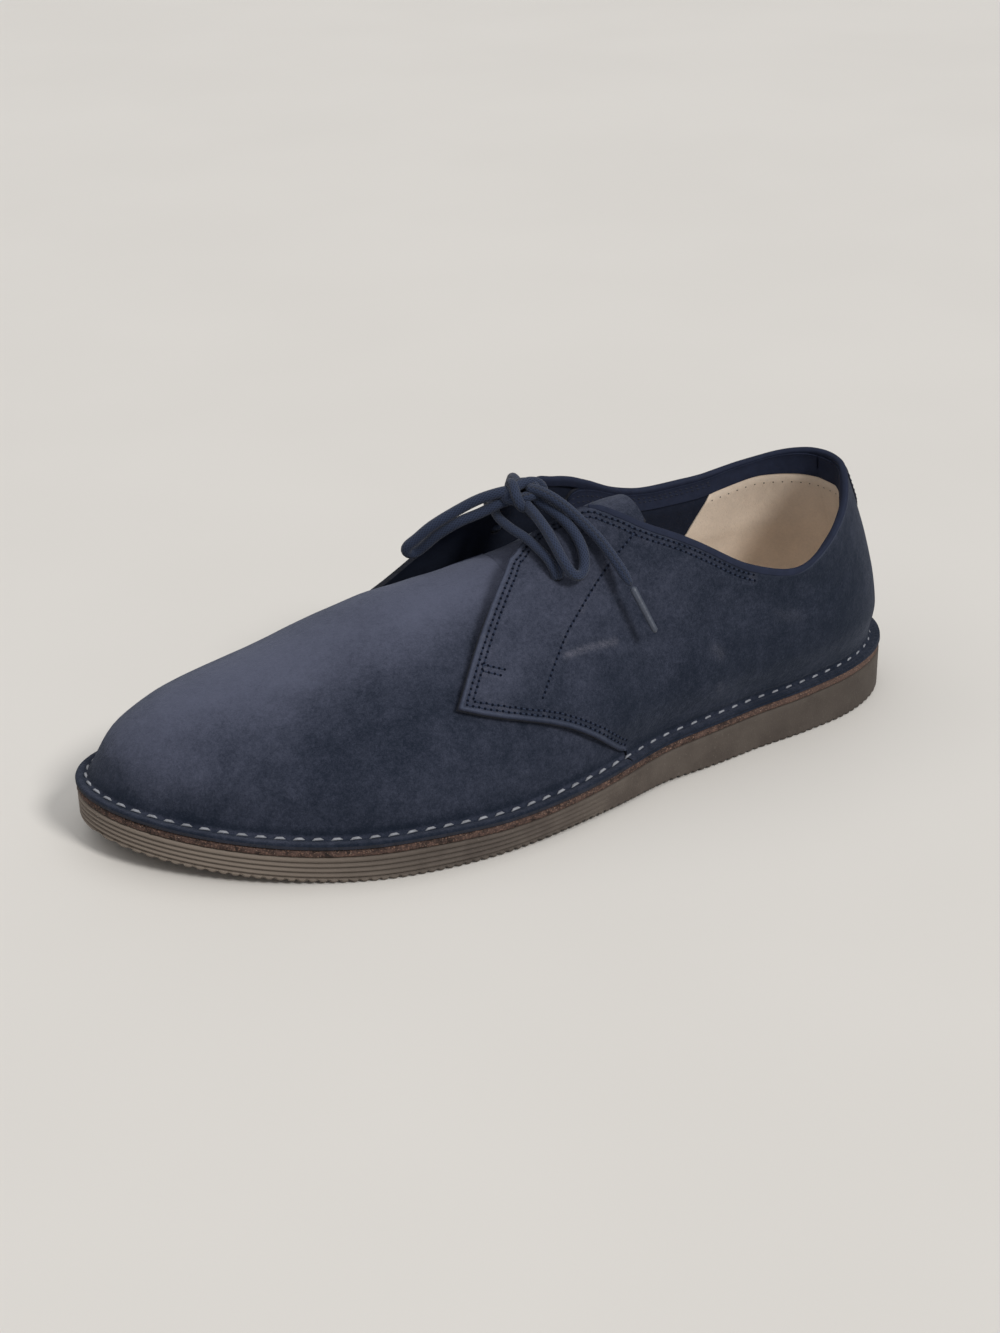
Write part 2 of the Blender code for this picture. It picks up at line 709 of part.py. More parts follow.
def line_through(places, step):
    """A smooth line through places, with a point about every step."""
    places = np.array(places, float)
    padded = np.concatenate([[2 * places[0] - places[1]], places, [2 * places[-1] - places[-2]]])
    fine = []
    for before, start, end, after in zip(padded, padded[1:], padded[2:], padded[3:]):
        for t in np.linspace(0, 1, 12, endpoint=False):
            fine.append(
                start
                + 0.5 * t * (end - before)
                + t * t * (before - 2.5 * start + 2 * end - 0.5 * after)
                + t**3 * (1.5 * (start - end) + 0.5 * (after - before))
            )
    fine = np.array([*fine, places[-1]])
    run = np.concatenate([[0], np.cumsum(np.linalg.norm(np.diff(fine, axis=0), axis=1))])
    count = max(2, round(run[-1] / step) + 1)
    return resample(fine, run, np.linspace(0, run[-1], count))


def tube(name, line, width, finish):
    """A closed round cord along a line."""
    tangents = unit(np.gradient(line, axis=0))
    across = unit(np.cross(tangents[0], (0.3, 0.5, 0.8)))
    outward, upward = [], []
    for tangent in tangents:
        across = unit(across - tangent * (across @ tangent))
        outward.append(across)
        upward.append(np.cross(tangent, across))
    angles = 2 * math.pi * np.arange(TUBE_SIDES) / TUBE_SIDES
    section = [(width / 2 * math.cos(a), width / 2 * math.sin(a)) for a in angles]
    return swept(name, line, outward, upward, section, finish)


def boolean(obj, other, operation):
    step = obj.modifiers.new(other.name, "BOOLEAN")
    step.object, step.operation, step.solver = other, operation, "EXACT"
    CUTTERS.objects.link(other)
    SHOE.objects.unlink(other)
    other.display_type = "WIRE"
    other.hide_render = True
    other.hide_set(True)


def make_lace(finish, metal):
    bars = tube("lace_bars", line_through(FRONT_STRAND, 5.0), LACE, finish)
    boolean(bars, tube("rear_strand", line_through(REAR_STRAND, 5.0), LACE, finish), "UNION")
    for name, places in (
        ("lace_loop_lateral", LATERAL_LOOP),
        ("lace_loop_medial", MEDIAL_LOOP),
        ("lace_end_lateral", LATERAL_END),
        ("lace_end_medial", MEDIAL_END),
    ):
        tube(name, line_through(places, 5.0), LACE, finish)
    for name, places in (("lace_tip_lateral", LATERAL_TIP), ("lace_tip_medial", MEDIAL_TIP)):
        tube(name, line_through(places, 5.0), TIP_WIDTH, metal)
    work = bmesh.new()
    bmesh.ops.create_uvsphere(work, u_segments=14, v_segments=8, radius=0.5)
    points = [np.array(v.co) * KNOT_SIZE + KNOT_MIDDLE for v in work.verts]
    faces = [tuple(v.index for v in f.verts) for f in work.faces]
    work.free()
    return mesh_object("lace_knot", points, faces, finish)


def cut_eyelets(quarters, finish):
    for side, quarter in quarters.items():
        middle, out = (np.array(v) for v in EYELETS[side])
        name = "eyelet_cutter_lateral" if side == LATERAL else "eyelet_cutter_medial"
        cutter = tube(name, np.array([middle - unit(out) * 7, middle + unit(out) * 4]), EYELET_WIDTH, finish)
        boolean(quarter, cutter, "DIFFERENCE")


# ---- the sole ------------------------------------------------------------------------------------
SOLE_TURNS = 72


def loft_sole(name, levels, finish):
    """A solid from rings of the plan. A level is (inset, height of a point at x)."""
    turns = [2 * (i + 0.5) / SOLE_TURNS for i in range(SOLE_TURNS)]
    points = []
    for inset, height in levels:
        for turn in turns:
            depth = inset(turn) if callable(inset) else inset
            x, y = plan(turn, depth)
            points.append((x, y, float(height(x))))
    faces = grid_faces(len(levels), SOLE_TURNS, True)
    top = (len(levels) - 1) * SOLE_TURNS
    for i in range(SOLE_TURNS // 2 - 1):
        low = (i, i + 1, SOLE_TURNS - 2 - i, SOLE_TURNS - 1 - i)
        faces.append(tuple(low))
        faces.append(tuple(top + k for k in reversed(low)))
    return mesh_object(name, points, faces, finish)


def ground(x):
    return float(spring(x)) + float(smooth(SOLE, SOLE_COLUMNS, "arch", share_of(x)))


def make_midsole(finish):
    levels = (
        (0.4, lambda x: seat(x) - GAP - MIDSOLE),
        (0.2, lambda x: seat(x) - GAP),
    )
    return loft_sole("midsole", levels, finish)


RIBS = 4
RIB_DEPTH = 0.9


def rib_inset(turn):
    """Depth of the side grooves: full round the forefoot, and gone behind the waist."""
    share = (1 - math.cos(math.pi * turn)) / 2
    return RIB_DEPTH * float(ease((share - 0.42) / 0.2))


def make_outsole(finish):
    def top(x):
        return seat(x) - 2 * GAP - MIDSOLE

    def between(way):
        return lambda x: ground(x) + (top(x) - ground(x)) * way

    levels = [(2.0, ground), (0.6, between(0.06))]
    for rib in range(RIBS):
        start = 0.12 + 0.8 * rib / RIBS
        levels.append((0.3, between(start)))
        levels.append((lambda turn: 0.3 + rib_inset(turn), between(start + 0.05)))
        levels.append((lambda turn: 0.3 + rib_inset(turn), between(start + 0.08)))
        levels.append((0.3, between(start + 0.13)))
    levels.append((0.3, top))
    return loft_sole("outsole", levels, finish)


def make_insole(finish):
    inset = WELT + UPPER_WALL + 2.2
    levels = (
        (inset, lambda x: seat(x) + GAP),
        (inset, lambda x: seat(x) + GAP + INSOLE),
    )
    return loft_sole("insole", levels, finish)


clear_scene()
SHOE = bpy.data.collections.new("derby_shoe")
CUTTERS = bpy.data.collections.new("cutters")
for collection in (SHOE, CUTTERS):
    bpy.context.scene.collection.children.link(collection)
suede = material("navy suede", (0.035, 0.05, 0.09), 0.9)
make_upper(suede)
quarters = {
    LATERAL: make_quarter("quarter_lateral", QUARTER_LATERAL, LATERAL, LATERAL_COLUMNS, suede),
    MEDIAL: make_quarter("quarter_medial", QUARTER_MEDIAL, MEDIAL, MEDIAL_COLUMNS, suede),
}
cut_eyelets(quarters, suede)
make_binding(material("navy binding", (0.02, 0.03, 0.06), 0.85))
make_heel_tab(suede)
make_tongue(material("grey-blue suede", (0.07, 0.09, 0.13), 0.9))
make_midsole(material("brown midsole leather", (0.35, 0.16, 0.06), 0.7))
make_outsole(material("taupe rubber", (0.2, 0.16, 0.12), 0.8))
make_insole(material("beige leather", (0.6, 0.5, 0.38), 0.6))
make_lace(material("navy lace", (0.02, 0.03, 0.055), 0.8), material("lace tip", (0.25, 0.25, 0.28), 0.5))
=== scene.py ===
"""The looks of a man's left derby shoe in navy suede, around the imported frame.

Lengths are in millimetres until a mesh is made, and MM turns them into metres. The toe points along
-X, the outer (lateral) side faces -Y and +Z is up.
"""

import math

import bmesh
import bpy
import numpy as np
from mathutils import Matrix, Vector, noise
from mathutils.bvhtree import BVHTree
from mathutils.kdtree import KDTree


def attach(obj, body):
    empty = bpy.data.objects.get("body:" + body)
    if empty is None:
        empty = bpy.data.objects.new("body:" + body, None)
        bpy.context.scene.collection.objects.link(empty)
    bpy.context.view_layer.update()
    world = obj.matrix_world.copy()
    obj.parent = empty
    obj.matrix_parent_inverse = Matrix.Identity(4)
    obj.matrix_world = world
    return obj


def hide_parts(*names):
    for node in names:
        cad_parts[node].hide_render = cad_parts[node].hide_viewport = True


MM = 0.001

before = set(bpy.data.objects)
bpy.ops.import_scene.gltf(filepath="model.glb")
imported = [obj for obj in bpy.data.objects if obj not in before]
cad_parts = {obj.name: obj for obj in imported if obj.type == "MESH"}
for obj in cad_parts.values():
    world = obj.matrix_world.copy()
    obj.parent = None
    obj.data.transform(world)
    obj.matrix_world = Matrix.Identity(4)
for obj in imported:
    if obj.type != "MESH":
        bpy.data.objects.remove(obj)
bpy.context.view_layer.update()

# ---- driving sizes ----
SOLE_LENGTH = 302.0
HEEL_OVERHANG = 1.5   # the turned-out edge stands out this much further behind the heel
OVERHANG_X = (122.0, 151.0)     # it sets in between these x
OVERHANG_INSET = (1.2, 4.4)     # and fades out between these insets
END_INSET = 0.4       # an inset counts this much more at the heel's and the toe's end
WELT = 4.5            # how far the upper's edge is turned out over the sole
TOE_SPRING = 9.0      # how high the toe stands off the ground
SPRING_START = 0.74   # share of the length, from the heel, where the sole leaves the ground
SPRING_POWER = 1.7
MIDSOLE = 2.6
GAP = 0.3             # between two pieces that meet
UPPER_WALL = 1.8
QUARTER_WALL = 2.2    # suede and its lining together
QUARTER_GAP = 0.8
TONGUE_WALL = 2.4
INSOLE = 3.0
LACE = 3.8

LATERAL, MEDIAL = -1, 1
SIDE_NAMES = {LATERAL: "lateral", MEDIAL: "medial"}

# Plan of the sole. A half width is the figure times 2 * sqrt(share * (1 - share)), which rounds
# both ends like an ellipse.
PLAN = (
    ("share", "centre", "lateral", "medial"), (0.00, 0.0, 65.0, 66.0), (0.08, 0.0, 57.5, 60.5),
    (0.16, 0.0, 50.0, 51.0), (0.25, 0.0, 45.5, 42.5), (0.35, 0.0, 45.5, 36.8), (0.45, 0.0, 51.0, 36.6),
    (0.55, 0.5, 57.5, 43.0), (0.65, 2.2, 62.8, 53.0), (0.75, 4.8, 66.0, 60.8), (0.85, 8.5, 66.5, 63.6),
    (0.93, 12.2, 66.3, 63.5), (1.00, 16.0, 66.0, 62.0),
)

# Thickness of outsole and midsole together.
SOLE = (
    ("share", "thickness", "arch"), (0.00, 18.8, 0.0), (0.10, 18.3, 0.0), (0.20, 17.2, 0.0),
    (0.30, 16.6, 0.2), (0.40, 15.0, 0.8), (0.50, 12.6, 0.8), (0.60, 11.9, 0.2), (0.65, 12.4, 0.0),
    (0.70, 12.8, 0.0), (0.85, 12.2, 0.0), (1.00, 12.0, 0.0),
)

# The last above the sole: height of its ridge, where the ridge lies across, how full each side is
# (2 is an ellipse, more is squarer) and how far the side swells out low down.
LAST = (
    ("share", "ridge", "across", "lateral_full", "medial_full", "swell"),
    (0.00, 115.0, 0.0, 1.8, 1.8, 0.05), (0.20, 102.0, 0.0, 1.75, 1.9, 0.05),
    (0.30, 90.0, 1.0, 1.7, 2.3, 0.04), (0.36, 81.5, 2.0, 1.65, 2.7, 0.03),
    (0.41, 74.5, 2.5, 1.65, 2.9, 0.02), (0.46, 67.5, 3.0, 1.65, 2.9, 0.02),
    (0.51, 63.0, 3.5, 1.65, 2.8, 0.02), (0.58, 60.0, 4.5, 1.7, 2.5, 0.02),
    (0.64, 56.5, 6.0, 1.8, 2.3, 0.02), (0.70, 51.0, 7.0, 1.9, 2.1, 0.02),
    (0.77, 44.5, 8.5, 2.0, 2.0, 0.02), (0.83, 39.5, 10.0, 2.1, 2.0, 0.02),
    (0.88, 35.0, 11.5, 2.1, 2.0, 0.01), (0.93, 31.0, 13.0, 2.1, 2.0, 0.0),
    (1.00, 26.0, 16.0, 2.1, 2.0, 0.0),
)
BALL = 0.7            # share of the length where the foot is widest
TOE_ROUND_START = 0.86
TOE_ROUND_POWER = 2.2
SWELL_HEIGHT = 36.0

# The back of the heel: how far it stands in from the feather line at each height.
HEEL = (
    ("height", "set_in"), (0.0, 0.0), (13.0, 0.4), (27.0, 2.0), (40.0, 5.0), (55.0, 10.0), (69.0, 15.0),
    (110.0, 26.0),
)

# The top edges on each side, from the heel to the throat: the share of the way round, the distance
# from the heel's back and the height above the sole. The collar is one edge for upper and quarters.
COLLAR = {}
COLLAR[LATERAL] = (
    ("turn", "along", "height"), (0.00, 0.0, 65.5), (0.08, 3.0, 64.5), (0.16, 12.0, 56.5),
    (0.25, 27.0, 47.0), (0.34, 42.0, 43.0), (0.43, 58.0, 47.5), (0.52, 74.0, 57.2), (0.60, 90.0, 66.5),
)
COLLAR[MEDIAL] = (
    ("turn", "along", "height"), (0.00, 0.0, 65.5), (0.08, 3.0, 65.5), (0.16, 12.0, 64.0),
    (0.25, 27.0, 60.0), (0.34, 42.0, 57.5), (0.43, 58.0, 59.0), (0.52, 74.0, 64.5), (0.60, 90.0, 68.5),
)
# Under the quarters the upper stops short of their throat edge and of their eyelets.
UPPER_THROAT = ((0.68, 104.0, 60.0), (0.77, 115.0, 54.0), (0.87, 128.0, 53.0))
THROAT = {
    LATERAL: ((0.68, 102.0, 72.5), (0.77, 115.5, 68.6), (0.87, 136.5, 61.3)),
    MEDIAL: ((0.68, 107.0, 69.0), (0.77, 118.0, 65.5), (0.87, 138.0, 60.5)),
}
FLAP_BOW = 2.6        # how far the flaps' front edges bulge forward half way up
BOW_START = 0.72      # share of the way along a quarter where that starts
# Which turn of its rim each turn of the upper's foot runs to.
RIM_TURNS = (
    ("foot", "rim"), (0.00, 0.0), (0.16, 0.11), (0.29, 0.29), (0.374, 0.46), (0.429, 0.59),
    (0.455, 0.64), (0.50, 0.70), (0.56, 0.77), (0.64, 0.84), (0.75, 0.91), (1.00, 1.0),
)
RIM_STEP = 0.6        # the upper's rim lies this much below the quarters'
THROAT_FRONT = -3.0   # where the upper's opening ends on the ridge

# How far the quarters stand off at the throat, and so what opens there.
LIFT = {LATERAL: 5.0, MEDIAL: 11.5}
LIFT_LEAN = 0.3       # how far a lifted point also moves out sideways, for each mm up
LIFT_BACK, LIFT_REACH = 90.0, 65.0   # x where the quarters start to stand off, and over what length
LIFT_RATIO, LIFT_RATIO_REACH = 0.78, 0.5
UPPER_LIFT = 0.8      # the share of it that the upper follows, from its front on
UPPER_LIFT_FRONT, UPPER_LIFT_REACH = 2.0, 22.0

# A quarter from its back seam to its front edge: the turn and height of its lower edge, and the
# turn of its rim. The seam lies on the medial side of the heel, where the lateral quarter's turns
# are negative.
FOOT = UPPER_WALL + 2.8
QUARTER = {}
QUARTER[LATERAL] = (
    ("way", "foot", "foot_height", "rim"), (0.00, -0.238, FOOT, -0.09), (0.10, -0.140, FOOT, -0.055),
    (0.22, 0.0, FOOT, 0.0), (0.36, 0.160, FOOT, 0.11), (0.50, 0.290, FOOT, 0.29),
    (0.62, 0.374, FOOT, 0.46), (0.71, 0.429, FOOT, 0.59), (0.76, 0.4545, FOOT, 0.635),
    (0.80, 0.472, 10.3, 0.685), (0.84, 0.4924, 18.2, 0.735), (0.89, 0.518, 24.5, 0.785),
    (0.945, 0.549, 29.6, 0.83), (1.00, 0.5785, 34.2, 0.87),
)
QUARTER[MEDIAL] = (
    ("way", "foot", "foot_height", "rim"), (0.00, 0.240, FOOT, 0.0925), (0.22, 0.320, FOOT, 0.24),
    (0.38, 0.374, FOOT, 0.40), (0.54, 0.429, FOOT, 0.56), (0.62, 0.4545, FOOT, 0.62),
    (0.68, 0.474, 10.3, 0.68), (0.75, 0.497, 18.2, 0.73), (0.83, 0.524, 24.5, 0.78),
    (0.915, 0.558, 29.6, 0.83), (1.00, 0.592, 33.5, 0.87),
)
QUARTER_COLUMNS = {LATERAL: 35, MEDIAL: 26}

# The eyelets: the middle on the quarter's outer face, and the direction out of it.
EYELETS = {
    LATERAL: ((8.4, -20.8, 77.3), (-0.20, -0.71, 0.675)),
    MEDIAL: ((8.0, 24.5, 78.3), (-0.16, 0.90, 0.41)),
}

# The lace as places that its middle passes. Two strands cross the throat from eyelet to eyelet.
FRONT_STRAND = (
    (7.9, -22.9, 79.3), (6.3, -19.6, 82.2), (4.6, -13.6, 85.4), (3.2, -8.5, 87.2), (1.2, -2.0, 88.6),
    (0.4, 5.0, 89.8), (1.5, 11.0, 90.8), (3.3, 17.0, 91.4), (4.9, 22.0, 89.4), (7.6, 26.9, 79.6),
)
REAR_STRAND = (
    (7.9, -22.9, 79.3), (9.9, -19.3, 83.4), (10.2, -13.4, 88.3), (10.0, -8.5, 90.3), (10.0, -2.0, 91.4),
    (9.6, 5.0, 91.7), (9.0, 11.0, 92.2), (8.4, 17.0, 92.6), (7.7, 22.4, 90.4), (7.6, 26.9, 79.6),
)
LATERAL_LOOP = (
    (7.8, 2.4, 97.6), (7.2, -1.6, 96.0), (7.2, -8.4, 94.4), (7.4, -14.6, 92.0), (7.9, -20.0, 88.2),
    (8.9, -24.7, 83.5), (11.0, -26.9, 79.4), (14.2, -26.6, 78.2), (16.8, -24.6, 80.6),
    (17.9, -21.2, 84.8), (17.3, -16.2, 89.3), (15.2, -9.2, 93.2), (11.8, -1.6, 95.9), (10.6, 2.4, 97.4),
)
MEDIAL_LOOP = (
    (6.4, 2.8, 99.8), (1.0, 4.4, 99.4), (-5.4, 8.6, 96.6), (-12.0, 12.4, 92.4), (-19.6, 16.0, 87.2),
    (-24.3, 18.9, 82.3), (-26.7, 20.5, 79.8), (-27.2, 21.3, 78.0), (-26.2, 21.9, 76.4),
    (-24.3, 21.7, 75.8), (-22.6, 21.0, 76.8), (-20.4, 18.9, 79.6), (-17.5, 16.2, 83.4),
    (-11.7, 11.6, 88.5), (-5.1, 7.9, 91.9), (0.6, 5.0, 95.2), (6.0, 3.6, 96.6),
)
LATERAL_END = (
    (8.4, 0.4, 100.8), (11.6, -3.0, 100.4), (15.5, -9.0, 98.0), (20.0, -15.0, 93.0),
    (24.0, -22.5, 87.0), (26.5, -29.0, 81.0), (28.5, -35.5, 74.6),
)
LATERAL_TIP = ((28.6, -35.8, 74.3), (33.4, -43.6, 59.6))
MEDIAL_END = (
    (9.2, 4.0, 99.0), (10.0, 8.3, 98.8), (12.0, 16.0, 98.0), (15.0, 23.5, 94.6), (18.0, 31.0, 88.0),
    (20.0, 37.0, 79.6), (21.0, 41.0, 70.0),
)
MEDIAL_TIP = ((21.05, 41.15, 69.6), (22.4, 44.0, 54.0))


# ---- curves through tables ----
def smooth(table, name, at):
    """A column of a table at a place between its rows, on a curve without overshoot. The first row
    holds the columns' names."""
    columns, rows = table[0], np.array(table[1:])
    x, y = rows[:, 0], rows[:, columns.index(name)]
    steps = np.diff(x)
    slopes = np.diff(y) / steps
    tangents = np.zeros(len(x))
    tangents[0], tangents[-1] = slopes[0], slopes[-1]
    for i in range(1, len(x) - 1):
        if slopes[i - 1] * slopes[i] > 0:
            before, after = steps[i - 1], steps[i]
            first, second = 2 * after + before, after + 2 * before
            tangents[i] = (first + second) / (first / slopes[i - 1] + second / slopes[i])
    at = np.clip(np.asarray(at, float), x[0], x[-1])
    i = np.clip(np.searchsorted(x, at) - 1, 0, len(x) - 2)
    t = (at - x[i]) / steps[i]
    return (
        (2 * t**3 - 3 * t**2 + 1) * y[i]
        + (t**3 - 2 * t**2 + t) * steps[i] * tangents[i]
        + (3 * t**2 - 2 * t**3) * y[i + 1]
        + (t**3 - t**2) * steps[i] * tangents[i + 1]
    )


def ease(value):
    """0 to 1 with level ends."""
    value = np.clip(value, 0.0, 1.0)
    return value * value * (3 - 2 * value)


# ---- the sole's plan and heights ----
def share_of(along_x):
    return 0.5 - np.asarray(along_x, float) / SOLE_LENGTH


def spring(along_x):
    rise = np.clip((share_of(along_x) - SPRING_START) / (1 - SPRING_START), 0, 1.1)
    return TOE_SPRING * rise**SPRING_POWER


def seat(along_x):
    """Height of the face that the upper's turned-out edge lies on."""
    return spring(along_x) + smooth(SOLE, "thickness", share_of(along_x))


def half_width(share, side, inset=0.0):
    roundness = 2 * np.sqrt(np.clip(share * (1 - share), 0, 1))
    inset = inset * (1 + END_INSET - END_INSET * roundness)
    return (smooth(PLAN, SIDE_NAMES[side], share) - inset) * roundness


def plan(turn, inset=0.0):
    """A point of the plan outline, set in from the sole's edge. turn runs from 0 at the heel by the
    lateral side to 1 at the toe, and by the medial side to 2."""
    angle = math.pi * turn
    side = LATERAL if angle % (2 * math.pi) < math.pi else MEDIAL
    share = (1 - math.cos(angle)) / 2
    x = (SOLE_LENGTH / 2 - inset) * (1 - 2 * share)
    centre = float(smooth(PLAN, "centre", share))
    y = centre + side * float(half_width(share, side, inset))
    return x + HEEL_OVERHANG * float(over(x, *OVERHANG_X) * (1 - over(inset, *OVERHANG_INSET))), y


def above_seat(rise):
    """The height of a level that lies this much above the seat."""
    return lambda x: seat(x) + rise


def over_seat(points):
    """Heights of points over the seat."""
    return points[..., 2] - seat(points[..., 0])


def plan_rings(levels, turns):
    """Rings of the plan. A level is (inset, height): a figure or a function of turn, and a function
    of x."""
    rings = []
    for inset, height in levels:
        ring = [plan(turn, inset(turn) if callable(inset) else inset) for turn in turns]
        rings.append([(x, y, float(height(x))) for x, y in ring])
    return np.array(rings)


# ---- the last ----
HEEL_END = SOLE_LENGTH / 2 - WELT
TOE_END = -HEEL_END
PATH_STEPS = 90       # steps of a path over the last, before it is divided evenly
FORE_START, FORE_REACH = 90.0, 40.0   # x where columns turn to the forepart's paths, over what length


def ridge(share):
    """Height of the last's ridge above the sole."""
    toe = np.clip((share - TOE_ROUND_START) / (1 - TOE_ROUND_START), 0, 1)
    return smooth(LAST, "ridge", share) * np.sqrt(1 - toe**TOE_ROUND_POWER)


SHARES = 1 - np.linspace(0, 1, 1200) ** 2
RIDGES = ridge(SHARES)


def station_of(x):
    """Share of the last's length, from the heel."""
    return (HEEL_END - x) / (2 * HEEL_END)


def heel_end(height):
    return HEEL_END - float(smooth(HEEL, "set_in", height))


def toe_end(height):
    """Where the ridge passes a height."""
    return HEEL_END - 2 * HEEL_END * float(np.interp(height, RIDGES, SHARES))


def section(x, height, side):
    """Across and up of the upper's outer face at a place along the shoe and a height over the sole."""
    share = (heel_end(height) - x) / (heel_end(height) - TOE_END)
    station = station_of(x)
    fraction = fraction_of(station, height)
    swell = float(smooth(LAST, "swell", station))
    swell *= math.sin(math.pi * min(1.0, height / SWELL_HEIGHT))
    width = float(half_width(share, side, WELT)) * section_ratio(station, fraction, side) * (1 + swell)
    middle = float(between((smooth(PLAN, "centre", station), smooth(LAST, "across", station)), fraction))
    return middle + side * width, float(seat(x)) + height


def fraction_of(station, height):
    """A height as a share of the last's."""
    return min(1.0, height / max(float(ridge(station)), 1e-6))


def fullness(station, side):
    return float(smooth(LAST, SIDE_NAMES[side] + "_full", station))


def section_ratio(station, fraction, side):
    """Half width of a section, as a share of its width at the sole, at a share of its height."""
    return math.sqrt(max(0.0, 1 - fraction ** fullness(station, side)))


def ratio_at(x, height, side):
    station = station_of(x)
    return section_ratio(station, fraction_of(station, height), side)


def between(pair, share):
    """Part of the way from the first of a pair to the second."""
    return pair[0] + (pair[1] - pair[0]) * share


def round_path(start, end, side, share):
    """The (x, height) of a place between two others, part of the way round slices of the last."""
    turns = []
    for x, height in (start, end):
        heel, toe = heel_end(height), toe_end(height)
        turns.append(math.acos(max(-1.0, min(1.0, 1 - 2 * (heel - x) / (heel - toe)))))
    height = between((start[1], end[1]), share)
    return between((heel_end(height), toe_end(height)), (1 - math.cos(between(turns, share))) / 2), height


def spread(station, side):
    """Half width that the lines over the forepart fan out by: level behind the ball of the foot."""
    return max(float(half_width(max(station, BALL), side, WELT)), 1e-6)


def over_path(start, end, side, share):
    """A place between two others, part of the way along a straight line over the forepart."""
    ends = [ratio_at(*place, side) * spread(station_of(place[0]), side) for place in (start, end)]
    x, across = between((start[0], end[0]), share), between(ends, share)
    station = station_of(x)
    ratio = min(1.0, across / spread(station, side))
    return x, float(ridge(station)) * (1 - ratio**2) ** (1 / fullness(station, side))


def slice_path(start, end, side, share, bow=0.0):
    """A place between two others, where the way round a slice and the way along change evenly,
    but for a bow forward."""
    x = between((start[0], end[0]), share) - bow * math.sin(math.pi * share)
    rise = math.sin(between([math.acos(ratio_at(*place, side)) for place in (start, end)], share))
    station = station_of(x)
    return x, float(ridge(station)) * rise ** (2 / fullness(station, side))


def path_on_last(start, end, side, count, blend, lowest=0.0):
    """Points at equal distances over the last between two (x, height) places on one side, from
    where the path passes the lowest height. blend holds the paths with their weights."""
    points, heights = [], []
    for share in 1 - np.cos(np.linspace(0, math.pi / 2, PATH_STEPS)):
        point, height = np.zeros(3), 0.0
        for weight, path in blend:
            if weight > 0:
                x, up = path(start, end, side, float(share))
                point, height = point + weight * np.array((x, *section(x, up, side))), height + weight * up
        points.append(point)
        heights.append(height)
    points, heights = np.array(points), np.array(heights)
    run = run_of(points)
    first = 0.0
    if lowest > heights[0]:
        i = int(np.argmax(heights >= lowest))
        first = between(run[i - 1 : i + 1], (lowest - heights[i - 1]) / (heights[i] - heights[i - 1]))
    return resample(points, run, np.linspace(first, run[-1], count))


def forward_share(x):
    """How much a column that starts at x follows the forepart's paths: none at the heel."""
    return float(ease((FORE_START - x) / FORE_REACH))


def side_of(turn):
    return LATERAL if turn <= 1 else MEDIAL


def edge_place(rows, turn):
    """The (x, height) place of an edge given by rows."""
    along, height = (float(smooth(rows, name, turn)) for name in ("along", "height"))
    return heel_end(height) - along, height


def upper_edge(turn):
    """Where the upper's own top edge lies, for a turn of its foot."""
    height = float(ridge(station_of(THROAT_FRONT)))
    front = (1.0, heel_end(height) - THROAT_FRONT, height)
    rim_turn = float(smooth(RIM_TURNS, "rim", min(turn, 2 - turn)))
    x, height = edge_place((*COLLAR[side_of(turn)], *UPPER_THROAT, front), rim_turn)
    return x, height - RIM_STEP


def quarter_edge(turn, side):
    return edge_place((*COLLAR[side], *THROAT[side]), turn)


def lift(point, side, front_fade):
    """How far a point near the throat stands off the last. front_fade holds the vamp down."""
    x, height = point[0], float(over_seat(point))
    amount = LIFT[side] * float(ease((LIFT_BACK - x) / LIFT_REACH))
    amount *= float(ease((LIFT_RATIO - ratio_at(x, height, side)) / LIFT_RATIO_REACH))
    if front_fade:
        amount *= UPPER_LIFT * float(ease((x - UPPER_LIFT_FRONT) / UPPER_LIFT_REACH))
    return amount


def normals_of(grid):
    """Unit normals of a grid of points, in rows going up and columns going round from the heel by
    the lateral side, that point out of the shoe."""
    return unit(np.cross(np.gradient(grid, axis=0), np.gradient(grid, axis=1)))


def stood_off(grid, sides, front_fade):
    """The grid lifted at the throat."""
    moved = grid.copy()
    for column, side in enumerate(sides):
        for row in range(len(grid)):
            up = lift(grid[row, column], side, front_fade)
            moved[row, column] += (0, side * LIFT_LEAN * up, up)
    return moved


def unit(rows):
    return rows / (np.linalg.norm(rows, axis=-1, keepdims=True) + 1e-12)


def resample(rows, run, wanted):
    return np.stack([np.interp(wanted, run, rows[:, axis]) for axis in range(rows.shape[1])], axis=1)


def line_through(places, step):
    """A smooth line through places, with a point about every step."""
    return spaced(through(places, 12 * (len(places) - 1) + 1), step)


# ---- fine grids ----
def through(rows, count, closed=False):
    """Rows made into count rows on a smooth curve through them."""
    rows = np.asarray(rows, float)
    last = len(rows) if closed else len(rows) - 1
    at = np.linspace(0, last, count, endpoint=not closed)
    i = np.minimum(at.astype(int), last - 1)
    t = (at - i).reshape(-1, *[1] * (rows.ndim - 1))
    if closed:
        before, start, end, after = (rows[(i + k) % last] for k in (-1, 0, 1, 2))
    else:
        padded = np.concatenate([2 * rows[:1] - rows[1:2], rows, 2 * rows[-1:] - rows[-2:-1]])
        before, start, end, after = (padded[i + k] for k in (0, 1, 2, 3))
    return (
        start
        + 0.5 * t * (end - before)
        + t * t * (before - 2.5 * start + 2 * end - 0.5 * after)
        + t**3 * (1.5 * (start - end) + 0.5 * (after - before))
    )


def finer(grid, rows, columns, closed=False):
    return through(through(grid, rows).swapaxes(0, 1), columns, closed).swapaxes(0, 1)


